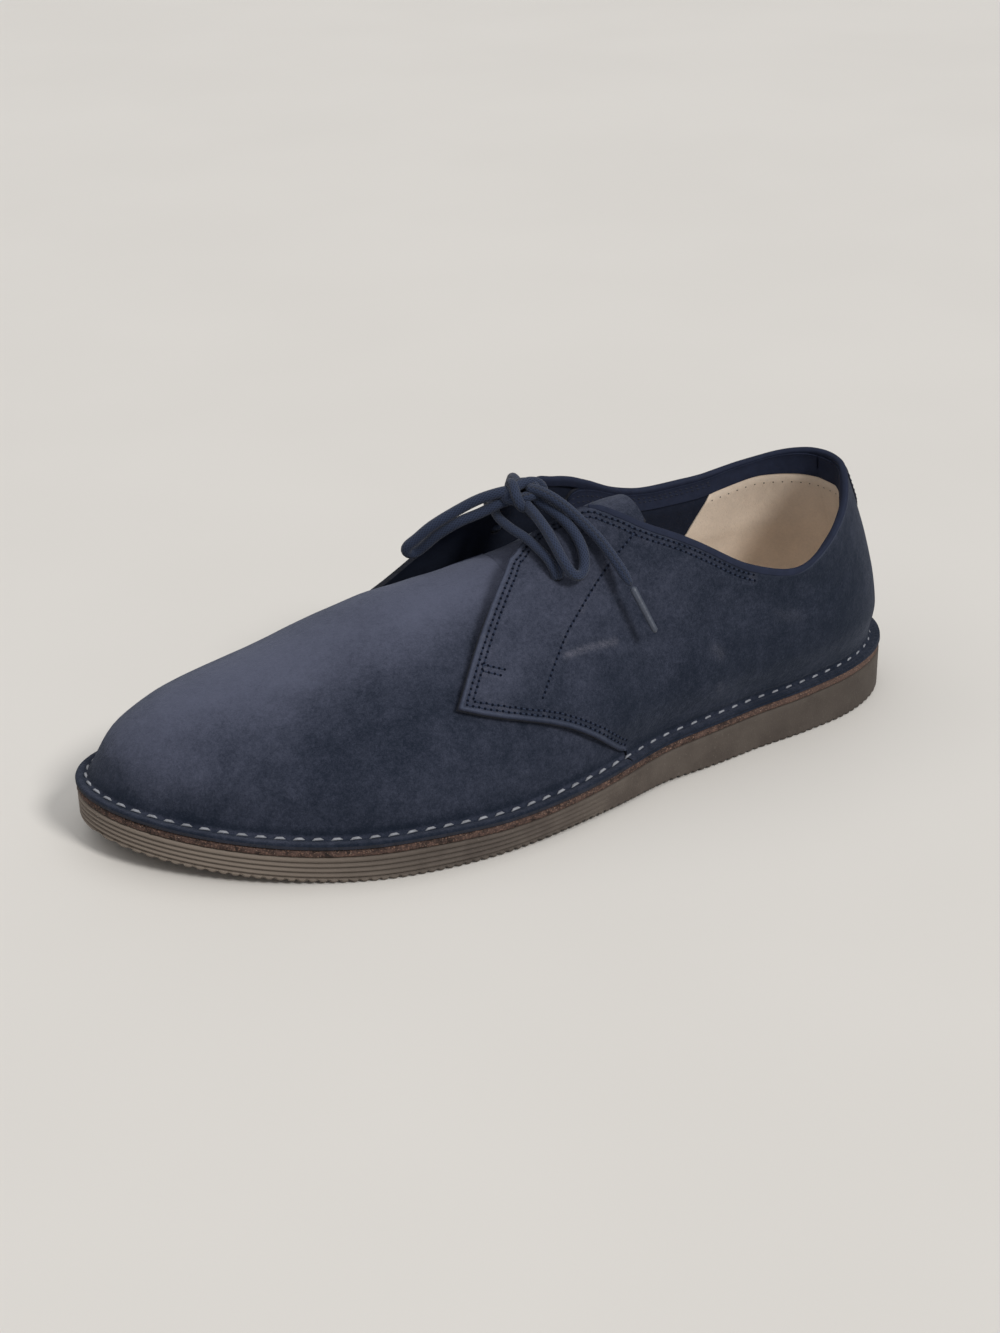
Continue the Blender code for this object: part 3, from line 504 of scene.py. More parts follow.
def sample(grid, row, column):
    """Places at rows and columns of a grid that may lie between its own."""
    rows, columns = grid.shape[:2]
    row = np.clip(row, 0, rows - 1.001)
    i, u = row.astype(int), (row % 1)[..., None]
    j, v = np.floor(column).astype(int), (column % 1)[..., None]
    a, b = grid[i, j % columns], grid[i, (j + 1) % columns]
    c, d = grid[i + 1, j % columns], grid[i + 1, (j + 1) % columns]
    return (a * (1 - v) + b * v) * (1 - u) + (c * (1 - v) + d * v) * u


def over(x, low, high):
    """0 below low, 1 above high, and a soft step between them."""
    return ease((np.asarray(x, float) - low) / (high - low))


def hump(away, width):
    """1 at 0, falling away to each side over about a width."""
    return np.exp(-((away / width) ** 2))


def run_of(line):
    return np.concatenate([[0], np.cumsum(np.linalg.norm(np.diff(line, axis=0), axis=1))])


def spaced(line, step):
    """Places at equal steps along a line."""
    run = run_of(line)
    return resample(np.asarray(line), run, np.linspace(0, run[-1], max(2, round(run[-1] / step) + 1)))


def waves(points, size, seed):
    """Soft noise from -1 to 1 at each point, with lumps of about a size."""
    lumps = [noise.noise(Vector(p / size) + Vector((seed, 0, 0))) for p in points.reshape(-1, 3)]
    return np.array(lumps).reshape(points.shape[:-1])


def tree_of(grid):
    """The faces of a grid, to find the nearest place on them."""
    return BVHTree.FromPolygons(grid.reshape(-1, 3).tolist(), grid_quads(*grid.shape[:2]).tolist())


def nearest(tree, places, found=0):
    """The nearest place on a tree's faces to each place or, with found at 1, the normal there."""
    return np.array([tree.find_nearest(Vector(p))[found] for p in places])


def from_line(points, line):
    """How far each point lies from a line, which has a place at least every mm."""
    tree = KDTree(len(line))
    for i, place in enumerate(line):
        tree.insert(place, i)
    tree.balance()
    return np.array([tree.find(p)[2] for p in points.reshape(-1, 3)]).reshape(points.shape[:-1])


# ---- meshes ----
def placed(name, data):
    thing = bpy.data.objects.new(name, data)
    bpy.context.scene.collection.objects.link(thing)
    return thing


def add_piece(name, points, faces, finishes, slot, which=None, uv=None, marks=None):
    """A mesh that rides with the shoe. which gives each face's finish, uv each point's place on the
    surface in mm, and marks are named values at the points, for the finishes."""
    mesh = bpy.data.meshes.new(name)
    mesh.from_pydata((np.asarray(points) * MM).tolist(), [], [tuple(map(int, f)) for f in faces])
    for finish in finishes:
        mesh.materials.append(finish)
    if which is not None:
        mesh.polygons.foreach_set("material_index", np.asarray(which, np.int32))
    if uv is not None:
        corner = np.empty(len(mesh.loops), np.int32)
        mesh.loops.foreach_get("vertex_index", corner)
        layer = mesh.uv_layers.new(name="lay")
        layer.data.foreach_set("uv", np.asarray(uv, np.float32)[corner].ravel())
    for mark, values in (marks or {}).items():
        layer = mesh.attributes.new(mark, "FLOAT", "POINT")
        layer.data.foreach_set("value", np.asarray(values, np.float32).ravel())
    mesh.shade_smooth()
    piece = placed(name, mesh)
    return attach(piece, "root") or piece


def grid_quads(rows, columns, closed=False):
    """Corners of the quads of a grid whose columns go round from the heel by the lateral side."""
    ids = np.arange(rows * columns).reshape(rows, columns)
    ids = np.concatenate([ids, ids[:, :1]], axis=1) if closed else ids
    return np.stack([ids[:-1, :-1], ids[1:, :-1], ids[1:, 1:], ids[:-1, 1:]], axis=-1).reshape(-1, 4)


def capped(rings, sides):
    """The faces of a row of rings of points, with a cap at both ends."""
    last = (rings - 1) * sides
    caps = [list(range(sides)), list(range(last + sides - 1, last - 1, -1))]
    return grid_quads(rings, sides, closed=True).tolist() + caps


def shell(name, outer, inner, finishes, slot, closed=False, keep=None, soften=0.5, marks=None):
    """A wall between an outer and an inner grid, joined and rounded along every open edge. The
    finishes are those of the outside, the inside and the cut edges."""
    rows, columns = outer.shape[:2]
    size = rows * columns
    quads = grid_quads(rows, columns, closed)
    if keep is not None:
        quads = quads[keep.ravel()]
    edges = np.concatenate([quads[:, [k, (k + 1) % 4]] for k in range(4)])
    there, back = edges[:, 0] * size + edges[:, 1], edges[:, 1] * size + edges[:, 0]
    a, b = edges[~np.isin(back, there)].T
    faces = np.concatenate([quads, quads[:, ::-1] + size, np.stack([b, a, a + size, b + size], axis=1)])
    which = np.repeat([0, 1, 2], [len(quads), len(quads), len(a)])
    used, faces = np.unique(faces, return_inverse=True)
    faces = faces.reshape(-1, 4)
    points = np.concatenate([outer.reshape(-1, 3), inner.reshape(-1, 3)])[used]
    marks = {mark: np.tile(values.ravel(), 2)[used] for mark, values in (marks or {}).items()}
    piece = add_piece(name, points, faces, finishes, slot, which, marks=marks)
    round_edges(piece, soften)
    return piece


def round_edges(piece, width):
    bevel = piece.modifiers.new("rounded edges", "BEVEL")
    bevel.width, bevel.segments = width * MM, 2
    bevel.limit_method, bevel.angle_limit = "ANGLE", math.radians(50)


def joined(parts):
    """(points, faces) of several, in one."""
    points, faces, start = [], [], 0
    for some, those in parts:
        points.append(some)
        faces += [tuple(k + start for k in face) for face in those]
        start += len(some)
    return np.concatenate(points), faces


# ---- the upper ----
# The turned-out edge as (distance in from the sole's edge, height), from its edge to the wall.
FLANGE = (
    (0.0, 1.25), (0.25, 1.85), (1.1, 2.05), (2.1, 1.95), (3.0, 1.85), (3.7, 2.0), (4.15, 2.6),
    (4.4, 3.4),
)
FLANGE_FOOT = (
    (0.0, 0.15), (0.3, 0.0), (1.1, 0.0), (2.1, 0.0), (3.3, 0.0), (4.6, 0.2), (5.6, 1.0), (6.1, 2.4),
)
# The same for the quarters' layer, which lies on the thinned edge of the upper.
QUARTER_FLANGE = (
    (0.1, 1.35), (0.3, 1.95), (1.0, 2.15), (1.8, 2.05), (2.5, 2.0), (3.05, 2.2), (3.4, 2.8),
    (3.55, 3.7),
)
QUARTER_FLANGE_FOOT = (
    (0.1, 1.2), (0.4, 1.15), (1.1, 1.15), (2.0, 1.15), (3.0, 1.15), (3.7, 1.4), (4.1, 2.2), (4.3, 3.4),
)
UPPER_COLUMNS, UPPER_ROWS = 72, 12
WALL_START = UPPER_WALL + 2.4
FINE_COLUMNS, FINE_ROWS = 504, 58
FLAP_TURN = 0.4545    # where the quarters' lower edge leaves the welt


def flange_rings(profile, turns):
    return plan_rings([(inset, above_seat(height)) for inset, height in profile], turns)


# Near the collar's rim both layers are pared thin, and rise a little above the last.
PARED_WALL, PARED_BAND = 0.9, 10.0
RIM_LIFT, RIM_LIFT_HEEL, RIM_LIFT_BAND = 1.9, 0.8, 16.0
RIM_X, RIM_HEEL_X = (24.0, 42.0), (105.0, 130.0)   # x over which that and the heel's share set in
# How worn the rim is: for each side where along it, how wide and how far up it is bent.
RIM_WAVES = {
    MEDIAL: ((62.0, 17.0, -3.8), (30.0, 7.0, 1.6)),
    LATERAL: ((112.0, 10.0, 3.2), (54.0, 13.0, 2.0)),
}


def below_rim(grid):
    """How far each place of a grid lies below its last row, along its column."""
    steps = np.linalg.norm(np.diff(grid, axis=0), axis=2)
    return np.concatenate([np.cumsum(steps[::-1], axis=0)[::-1], np.zeros((1, grid.shape[1]))])


def lifted_rim(grid):
    """The grid stretched up to the collar's rim, and how far it is pared there, from 0 to 1."""
    x = grid[-1, :, 0]
    behind = over(x, *RIM_X)
    below = below_rim(grid)
    rise = RIM_LIFT + RIM_LIFT_HEEL * over(x, *RIM_HEEL_X)
    for side, bends in RIM_WAVES.items():
        for middle, width, height in bends:
            rise = rise + height * hump(x - middle, width) * (grid[-1, :, 1] * side > 0)
    rise = behind * rise * (1 - over(below, 0.0, RIM_LIFT_BAND))
    ups = unit(np.gradient(grid, axis=0))
    return grid + ups * rise[..., None], behind * (1 - over(below, 0.0, PARED_BAND))


def crown(x, y):
    """Height of the last over places near its ridge."""
    station = station_of(x)
    middle = smooth(PLAN, "centre", station), smooth(LAST, "across", station)
    top, full = ridge(station), [smooth(LAST, n, station) for n in ("lateral_full", "medial_full")]
    share = np.ones(x.shape)
    for _ in range(6):
        height = share * top
        centre = between(middle, share)
        lateral = y < centre
        heel = HEEL_END - smooth(HEEL, "set_in", height)
        along = (heel - x) / (heel - TOE_END)
        width = np.where(lateral, half_width(along, LATERAL, WELT), half_width(along, MEDIAL, WELT))
        swell = smooth(LAST, "swell", station) * np.sin(np.pi * np.minimum(1, height / SWELL_HEIGHT))
        ratio = np.clip(np.abs(y - centre) / np.maximum(width * (1 + swell), 1.0), 0, 0.98)
        share = (1 - ratio**2) ** (1 / np.where(lateral, *full))
    return seat(x) + top * share


# The vamp's top is laid on the ridge where it faces up this much, and in front of these x.
CROWN_FACING, CROWN_X = (0.6, 0.85), (1.0, 7.0)


def on_crown(grid):
    """The grid with the vamp's top laid on the last's rounded ridge."""
    x, y, z = np.moveaxis(grid, -1, 0)
    share = over(np.abs(normals_of(grid)[..., 2]), *CROWN_FACING) * (1 - over(x, *CROWN_X))
    return np.stack([x, y, z + share * (crown(x, y) - z)], axis=-1)


def upper_grids():
    """The upper's outer and inner grids: the turned-out edge, then the wall up to its rim."""
    turns = [2 * column / UPPER_COLUMNS for column in range(UPPER_COLUMNS)]
    wall = []
    for turn in turns:
        start = plan(turn, WELT)[0], 0.0
        fore = forward_share(start[0])
        blend = ((1 - fore, round_path), (fore, over_path))
        wall.append(path_on_last(start, upper_edge(turn), side_of(turn), UPPER_ROWS, blend, WALL_START))
    wall = stood_off(np.array(wall).transpose(1, 0, 2), [side_of(t) for t in turns], front_fade=True)
    wall, pared = lifted_rim(on_crown(finer(wall, FINE_ROWS, FINE_COLUMNS, closed=True)))
    turns = 2 * np.arange(FINE_COLUMNS) / FINE_COLUMNS
    outer = np.concatenate([flange_rings(FLANGE, turns), wall])
    normals = normals_of(outer)
    pared = np.concatenate([np.zeros((len(FLANGE), FINE_COLUMNS)), pared])[..., None]
    outer = outer + normals * (QUARTER_GAP + QUARTER_WALL - PARED_WALL - 0.1) * pared
    inner = outer - normals * (UPPER_WALL + (PARED_WALL - UPPER_WALL) * pared)
    inner = np.concatenate([flange_rings(FLANGE_FOOT, turns), inner[len(FLANGE):]])
    return outer, inner, normals, np.minimum(turns, 2 - turns)


# Soft creases of the vamp, each as places across it, its depth and its width.
CREASES = (
    (((-20.0, -33.0, 61.0), (-24.0, -12.0, 67.0), (-22.0, 8.0, 68.0), (-16.0, 30.0, 62.0)), 0.35, 5.0),
    (((-36.0, -40.0, 50.0), (-38.0, -18.0, 62.0), (-36.0, 6.0, 64.0), (-30.0, 30.0, 58.0)), 0.30, 6.0),
    (((-52.0, -38.0, 44.0), (-56.0, -10.0, 56.0), (-52.0, 18.0, 57.0), (-45.0, 40.0, 46.0)), 0.25, 6.0),
    (((-42.0, -52.0, 26.0), (-50.0, -46.0, 36.0), (-60.0, -38.0, 42.0)), 0.30, 5.0),
)


def vamp_relief(points):
    relief = 0.35 * waves(points, 34.0, 3.0) + 0.10 * waves(points, 9.0, 7.0)
    for places, depth, width in CREASES:
        relief = relief - depth * hump(from_line(points, line_through(places, 1.0)), width)
    return relief


def dusty_flange(height):
    """The dust on the flat top of the flange; its edge stays dark."""
    dust = over(height, 1.8, 2.05) * (1 - over(height, 2.5, 3.5))
    return 0.30 * dust - 0.15 * (1 - over(height, 3.5, 6.0))


def nap_and_painted_light_of(points, normals):
    """How light the vamp's colour is, partly from its pile and partly painted light and shade: lightest
    along its top where it faces up and at the toe, darkest low down.
    """
    x, z = points[..., 0], over_seat(points)
    # Painted light: lighter where the vamp's face turns up.
    top = 0.08 + 0.92 * over(normals[..., 2], 0.55, 1.0) ** 4.4
    toe = 0.62 * hump(x + 142.0, 34.0) * over(z, 4.0, 24.0)
    return np.clip(top + toe * (1 - top), 0, 1) * over(z, 3.0, 6.5) + dusty_flange(z)


# The first mark is the pile's tone and the flange's dust, mixed with painted light and shade.
def marks_of(nap_and_painted_light, **others):
    return {"nap_and_painted_light": nap_and_painted_light, "edge": 0 * nap_and_painted_light, "wear": 0 * nap_and_painted_light, **others}


# How far the upper sinks under the quarters: its turned-out edge, and its wall up to these heights.
SUNK_FLANGE, SUNK_WALL, SUNK_HEIGHT = 0.95, 0.9, (10, 18)


def make_upper(finishes):
    outer, inner, normals, turns = upper_grids()
    height = over_seat(outer)
    relief = vamp_relief(outer) * over(height, 3.0, 12.0)
    row = np.arange(len(outer))
    wall = SUNK_WALL * (1 - over(height.mean(1), *SUNK_HEIGHT))
    sunk = np.where(row < len(FLANGE), SUNK_FLANGE, wall)[:, None]
    sunk = sunk * over(FLAP_TURN - turns, 0.0, 0.004)
    down = (row < len(FLANGE) - 2)[:, None, None]
    outer = outer + normals * relief[..., None] - np.where(down, (0, 0, 1.0), normals) * sunk[..., None]
    marks = marks_of(nap_and_painted_light_of(outer, normals))
    piece = shell("vamp_and_body", outer, inner, finishes, "suede", closed=True, marks=marks)
    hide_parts("upper")
    return outer, inner


# ---- the quarters ----
QUARTER_ROWS = 9
FINE_QUARTER_ROWS = 66
FINE_QUARTER_COLUMNS = {LATERAL: 307, MEDIAL: 226}
FLAP_WAY = {LATERAL: 0.76, MEDIAL: 0.62}
LIFTED_HEIGHT = (4.0, 17.0)   # between these heights the quarters rise to their full thickness
LOW_FACE, LOW_BACK = 0.95, 0.25   # how far their two faces stand off the upper below that


def quarter_column(way, side):
    foot, foot_height, rim = (float(smooth(QUARTER[side], n, way)) for n in ("foot", "foot_height", "rim"))
    if foot < 0:
        side = -side
    end = quarter_edge(abs(rim), side)
    start = plan(abs(foot), WELT)[0] + heel_end(foot_height) - heel_end(0), foot_height
    fore = forward_share(start[0])
    bow = FLAP_BOW * float(ease((way - BOW_START) / (1 - BOW_START)))
    blend = ((1 - fore, round_path), (fore, lambda *ends: slice_path(*ends, bow=bow)))
    return path_on_last(start, end, side, QUARTER_ROWS, blend), side


def quarter_middle(side):
    """A coarse grid of the last under a quarter, from the back seam to the front edge, lifted at
    the throat."""
    made = [quarter_column(way, side) for way in np.linspace(0, 1, QUARTER_COLUMNS[side])]
    grid = np.array([points for points, _ in made]).transpose(1, 0, 2)
    sides = [where for _, where in made]
    if side == MEDIAL:
        grid, sides = grid[:, ::-1], sides[::-1]
    return stood_off(grid, sides, front_fade=False)


SEAM_ROWS = (2.3, 4.1)         # how far the two rows of stitches lie from an edge
STITCH_PITCH, STITCH_DEPTH = 2.1, 0.16
# The row that holds the lining, as places on the outer side, and the tack near the flap's corner.
STAY = (
    (38.0, -21.0, 86.0), (24.0, -24.7, 76.1), (9.0, -30.6, 63.6), (4.0, -33.3, 59.0),
    (-9.1, -42.9, 45.6),
)
TACKS = (((-26.5, -34.0, 58.6), (-19.5, -36.0, 55.6)), ((-27.0, -35.0, 56.6), (-21.5, -36.6, 54.2)))
MEDIAL_REACH = 1.05            # on the medial side these lie this many times as far across
# The eyelet's radius, the radius of the faces left out for it, and how far round it is drawn out.
EYELET_HOLE, EYELET_FACES, EYELET_REACH, EYELET_RIM = 2.35, 1.35, 4.2, 0.25
ROWS_END = 80.0                # the rows along the rim run back to here


def quarter_grids(side):
    """The outer and inner grids of a quarter with its turned-out foot, and which faces are kept."""
    fine = FINE_QUARTER_COLUMNS[side]
    middle, pared = lifted_rim(finer(quarter_middle(side), FINE_QUARTER_ROWS, fine))
    normals = normals_of(middle)
    raised = over(over_seat(middle), *LIFTED_HEIGHT)[..., None]
    pared = (QUARTER_WALL - PARED_WALL) * pared[..., None]
    outer = middle + normals * between((LOW_FACE, QUARTER_GAP + QUARTER_WALL), raised)
    inner = middle + normals * (between((LOW_BACK, QUARTER_GAP), raised) + pared)
    ways = np.linspace(0, 1, fine)
    turns, on_welt = smooth(QUARTER[side], "foot", ways), ways < FLAP_WAY[side]
    if side == MEDIAL:
        turns, on_welt = -turns[::-1], on_welt[::-1]
    rings = flange_rings(QUARTER_FLANGE, turns), flange_rings(QUARTER_FLANGE_FOOT, turns)
    outer, inner = np.concatenate([rings[0], outer]), np.concatenate([rings[1], inner])
    keep = np.ones((outer.shape[0] - 1, fine - 1), bool)
    keep[: len(QUARTER_FLANGE)] = (on_welt[1:] & on_welt[:-1])[None, :]
    return outer, inner, keep


def eyelet(side):
    """The middle of an eyelet and the direction out of it."""
    middle, out = (np.array(v) for v in EYELETS[side])
    return middle, out / np.linalg.norm(out)


def punched(outer, inner, keep, side):
    """The grids with a round hole at the eyelet."""
    middle, out = eyelet(side)
    away = outer - middle
    flat = away - (away @ out)[..., None] * out
    radius = np.linalg.norm(flat, axis=2)
    radius[np.abs(away @ out) > 8] = 99
    near = (radius[:-1, :-1] + radius[1:, :-1] + radius[:-1, 1:] + radius[1:, 1:]) / 4
    hole = near < EYELET_FACES
    edge = np.zeros(radius.shape, bool)
    for i, j in ((0, 0), (0, 1), (1, 0), (1, 1)):
        edge[i : i + hole.shape[0], j : j + hole.shape[1]] |= hole
    drawn = (EYELET_REACH - EYELET_HOLE - EYELET_RIM) / (EYELET_REACH - EYELET_FACES)
    wanted = np.where(edge, EYELET_HOLE, EYELET_HOLE + EYELET_RIM + (radius - EYELET_FACES) * drawn)
    wanted = np.where(radius < EYELET_REACH, wanted, radius)
    shift = flat * (wanted / np.maximum(radius, 1e-6) - 1)[..., None]
    return outer + shift, inner + shift, keep & ~hole


def border_of(outer, side):
    """A quarter's free edge: along the flap's lower edge, up its front and back along the rim."""
    start = len(QUARTER_FLANGE)
    if side == MEDIAL:
        outer = outer[:, ::-1]
    first = int(FLAP_WAY[side] * outer.shape[1]) + 1
    return outer[start, first:], outer[start:, -1], outer[-1, ::-1]


def inset_rows(outer, side, lines, distances):
    """Lines on a quarter at distances in from its free edge."""
    whole = spaced(np.concatenate(lines), 0.4)
    tree = tree_of(outer)
    rows = []
    for distance in distances:
        row = []
        for line in lines:
            line = spaced(line, 0.5)
            inward = np.cross(nearest(tree, line, 1), np.gradient(line, axis=0)) * side
            row.append(line + inward / np.linalg.norm(inward, axis=1, keepdims=True) * distance)
        row = np.concatenate(row)
        row = row[(from_line(row, whole) > 0.93 * distance) & (row[:, 0] < ROWS_END)]
        rows.append(nearest(tree, row))
    return rows


def on_surface(outer, places):
    return nearest(tree_of(outer), spaced(line_through(places, 0.8), 0.5))


BEAD_SIDES, BEAD_RINGS = 6, 5
BEAD_FACES = [[face[0], *face[:0:-1]] for face in capped(BEAD_RINGS, BEAD_SIDES)]


def bead(start, end, out, width, height):
    """(points, faces) of one stitch between two places, arched away from the surface."""
    ahead = end - start
    length = np.linalg.norm(ahead)
    ahead = ahead / length
    across = np.cross(out, ahead)
    points = []
    for t in np.linspace(0, 1, BEAD_RINGS):
        swell = math.sqrt(max(0.0, 1 - (2 * t - 1) ** 4))
        middle = start + ahead * length * t + out * height * (swell - 0.6)
        size = width * max(0.12, swell)
        for k in range(BEAD_SIDES):
            a = 2 * math.pi * k / BEAD_SIDES
            points.append(middle + across * size * 0.5 * math.cos(a) + out * size * 0.4 * math.sin(a))
    return np.array(points), BEAD_FACES


def steps_along(line, outward, pitch):
    """Places at even steps of about a pitch along a line, with the directions out there."""
    run = run_of(line)
    at = np.linspace(0, run[-1], max(1, round(run[-1] / pitch)) + 1)
    return resample(line, run, at), unit(resample(outward, run, at))


def stitches(name, lines, finish, slot, pitch, share, width, height, slant=0.0):
    """Rows of stitches, each as long as a share of the pitch. A line is (places, directions out of
    the surface)."""
    parts = []
    for line in lines:
        places, outs = steps_along(*line, pitch)
        for start, end, out in zip(places, places[1:], outs):
            gap = (end - start) * (1 - share) / 2
            lean = np.cross(out, end - start) * slant
            parts.append(bead(start + gap - lean, end - gap + lean, out, width, height))
    return add_piece(name, *joined(parts), (finish,), slot)


DISC_SIDES = 7
ANYWHERE = (0.3, 0.5, 0.8)     # a direction that nothing here runs along


def painted_needle_hole_shades(name, lines, finish, slot, pitch, width):
    """Painted shade for the holes at the ends of the stitches: shallow dark discs on the surface."""
    parts = []
    fan = [(k, (k + 1) % DISC_SIDES, DISC_SIDES) for k in range(DISC_SIDES)]
    for line in lines:
        for place, out in zip(*steps_along(*line, pitch)):
            across = unit(np.cross(out, ANYWHERE))
            other = np.cross(out, across)
            ring = [
                place + out * 0.06 + (across * math.cos(a) + other * math.sin(a)) * width / 2
                for a in 2 * math.pi * np.arange(DISC_SIDES) / DISC_SIDES
            ]
            parts.append((np.array([*ring, place + out * 0.10]), fan))
    return add_piece(name, *joined(parts), (finish,), slot)


# Rubbed places on the quarters as lines, each with its width and how strong it is.
SCUFFS = (
    (((3.4, -35.9, 55.0), (12.0, -35.6, 55.6), (22.5, -35.4, 55.3)), 1.0, 0.85),
    (((60.5, -38.2, 44.5), (62.5, -38.4, 42.0)), 2.0, 0.30),
    (((61.8, -40.3, 31.0), (61.8, -40.6, 28.0)), 1.4, 0.25),
    (((88.0, -36.0, 50.0), (96.0, -35.0, 47.0)), 2.5, 0.15),
)


def wear_of(points, rows):
    """How rubbed a quarter is: along its stitches and at the scuffs."""
    wear = 0.22 * hump(rows, 1.6) * over(waves(points, 3.0, 41.0), 0.0, 0.9)
    for line, width, depth in SCUFFS:
        away = from_line(points, line_through(line, 1.0))
        wear = wear + depth * hump(away, width) * (0.6 + 0.4 * waves(points, 1.6, 43.0))
    return np.clip(wear, 0, 1)


# Painted light and shade on the quarters, mixed with the pile's tone: lighter high up and toward the front,
# darker low down and toward the heel.
def quarter_nap_and_painted_light(x, height):
    side = 0.42 * (1 - over(x, -30.0, 90.0)) * over(height, 14.0, 55.0) - 0.10 * over(x, 55.0, 110.0)
    return side - 0.08 * (1 - over(height, 14.0, 36.0)) + dusty_flange(height)


def make_quarter(side, finishes, thread, hole):
    name = SIDE_NAMES[side] + "_quarter"
    outer, inner, keep = quarter_grids(side)
    lines = border_of(outer, side)
    rows = inset_rows(outer, side, lines, SEAM_ROWS)
    mirror = (1, 1, 1) if side == LATERAL else (1, -MEDIAL_REACH, 1)
    rows += [on_surface(outer, np.array(line) * mirror) for line in (STAY, *TACKS)]
    border = spaced(np.concatenate(lines), 0.4)
    edge = from_line(outer, border)
    normals = normals_of(outer)
    height = over_seat(outer)
    relief = 0.30 * waves(outer, 30.0, 11.0 + side) * over(height, 6.0, 20.0) * over(edge, 2.0, 12.0)
    near = np.min([from_line(outer, row) for row in rows], axis=0)
    relief = relief - 0.30 * hump(near, 0.9) + 0.12 * hump(edge - 1.0, 0.8)
    outer = outer + normals * relief[..., None]
    outer, inner, keep = punched(outer, inner, keep, side)
    # The edge mark is a painted highlight just inside the quarter's cut edge, and the mark at the very edge
    # is a painted shadow line.
    marks = marks_of(quarter_nap_and_painted_light(outer[..., 0], height), edge=hump(edge - 0.8, 0.5), fold=hump(edge, 0.5),
                     wear=wear_of(outer, near))
    piece = shell(name, outer, inner, finishes, "suede", keep=keep, soften=0.45, marks=marks)
    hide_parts("quarter_" + SIDE_NAMES[side])
    tree, lined = tree_of(outer), []
    for row in rows:
        out = nearest(tree, row, 1)
        lined.append((row - out * STITCH_DEPTH, out))
    stitches(name + "_stitches", lined, thread, "suede", STITCH_PITCH, share=0.62, width=0.55, height=0.12)
    # Dark discs of painted shade stand in for the needle holes.
    painted_needle_hole_shades(name + "_painted_needle_hole_shades", lined, hole, "suede", STITCH_PITCH, width=0.95)
    return outer


# ---- the collar ----
CORNER_X = {LATERAL: 26.0, MEDIAL: 20.0}
# The binding's section as (out from the quarters' face, up from the rim).
BINDING_SECTION = (
    (0.02, -1.3), (0.18, -1.15), (0.22, -0.5), (0.16, 0.4), (-0.2, 0.95), (-0.95, 1.15), (-1.7, 0.95),
    (-2.15, 0.35), (-2.28, -0.5), (-2.25, -1.9), (-1.95, -2.0), (-1.85, 0.1), (0.0, 0.1),
)


def rim(quarters):
    """Places along the quarters' rim from the medial corner of the throat round the heel to the
    lateral corner, with the directions out of the shoe and up along the wall."""
    parts = []
    for outer, side in quarters:
        behind = outer[-1, :, 0] > CORNER_X[side]
        rows = outer[-1], normals_of(outer)[-1], unit(outer[-1] - outer[-2])
        parts.append([row[behind] for row in rows])
    return [np.concatenate(rows) for rows in zip(*parts)]


def strip(places, outward, upward, section, widths):
    """(points, faces, uv) of a closed section swept along places, as wide as widths say at each."""
    points, uv, run = [], [], run_of(places)
    round_about = run_of(np.array([*section, section[0]]))
    for place, out, up, width, along in zip(places, outward, upward, widths, run):
        points += [place + (out * a + up * b) * width for a, b in section]
        uv += [(across, along) for across in round_about[:-1]]
    return np.array(points), capped(len(places), len(section)), np.array(uv)


def outward_faces(piece):
    work = bmesh.new()
    work.from_mesh(piece.data)
    bmesh.ops.recalc_face_normals(work, faces=work.faces)
    work.to_mesh(piece.data)
    work.free()


def swept_piece(name, strips, finish, slot):
    """One piece of strips or tubes, each (points, faces, uv)."""
    uv = np.concatenate([swept[2] for swept in strips])
    piece = add_piece(name, *joined([swept[:2] for swept in strips]), (finish,), slot, uv=uv)
    outward_faces(piece)
    return piece


def make_binding(quarters, finish):
    places, outward, upward = rim(quarters)
    run = run_of(places)
    wanted = np.linspace(0, run[-1], 60)
    places, outward, upward = (through(resample(r, run, wanted), 480) for r in (places, outward, upward))
    run = run_of(places)
    widths = 0.55 + 0.45 * over(np.minimum(run, run[-1] - run), 0.0, 5.0)
    section = through(BINDING_SECTION, 42, closed=True)
    swept = strip(places, unit(outward), unit(upward), section, widths)
    piece = swept_piece("collar_binding_bead", [swept], finish, "binding")
    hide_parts("collar_binding")


def inside_patch(name, inner, normals, ends, rows, size, finish, slot, proud, thick):
    """A thin layer on the inside of the upper, which stands proud of it. ends gives the first and
    last column, round the heel from the medial side, at each row between the top and the foot."""
    row = between(rows[::-1], np.linspace(0, 1, size[0])[:, None])
    column = between(ends(row), np.linspace(0, 1, size[1])[None, :])
    row = np.broadcast_to(row, column.shape)
    places, outs = sample(inner, row, column), unit(sample(normals, row, column))
    face, back = places - outs * proud, places - outs * (proud - thick)
    shell(name, back, face, (finish,) * 3, slot, soften=0.2)
    return face, outs


# The rows of the tape's grid that are stitched, as far back as an x.
TAPE_GRID, TAPE_SEAMS, TAPE_SEAM_BACK = (28, 260), (14, 20), 100.0


def make_tape(inner, normals, finish, thread):
    """The tape that lines the collar's edge, with its rows of stitches."""
    last_row = inner.shape[0] - 1
    reach = inner.shape[1] / 4
    face, outs = inside_patch(
        "collar_tape", inner, normals, lambda row: (np.full(row.shape, -reach), np.full(row.shape, reach)),
        (last_row - 0.3, last_row - 6.6), TAPE_GRID, finish, "binding", proud=0.75, thick=0.55,
    )
    half = TAPE_GRID[1] // 2
    lines = []
    for row in TAPE_SEAMS:
        front = face[row, :, 0] < TAPE_SEAM_BACK
        for start in (0, half):
            chosen = np.flatnonzero(front[start : start + half]) + start
            lines.append((face[row, chosen] - outs[row, chosen] * 0.03, -outs[row, chosen]))
    stitches("collar_tape_stitches", lines, thread, "binding", 2.3, share=0.6, width=0.5, height=0.14)


# The heel lining's front edge, as a place on it (x, height), and how far it leans.
LINING_FRONT, LINING_LEAN = (98.3, 69.7), 0.57
LINING_GRID = (60, 240)
LINING_HOLES = 54, slice(4, 150)   # the row of the grid with its needle holes, and from where to where


def crossing(values):
    """Where a run of values first falls below 0, between its places."""
    after = int(np.argmax(values < 0))
    return after - values[after] / (values[after] - values[after - 1])


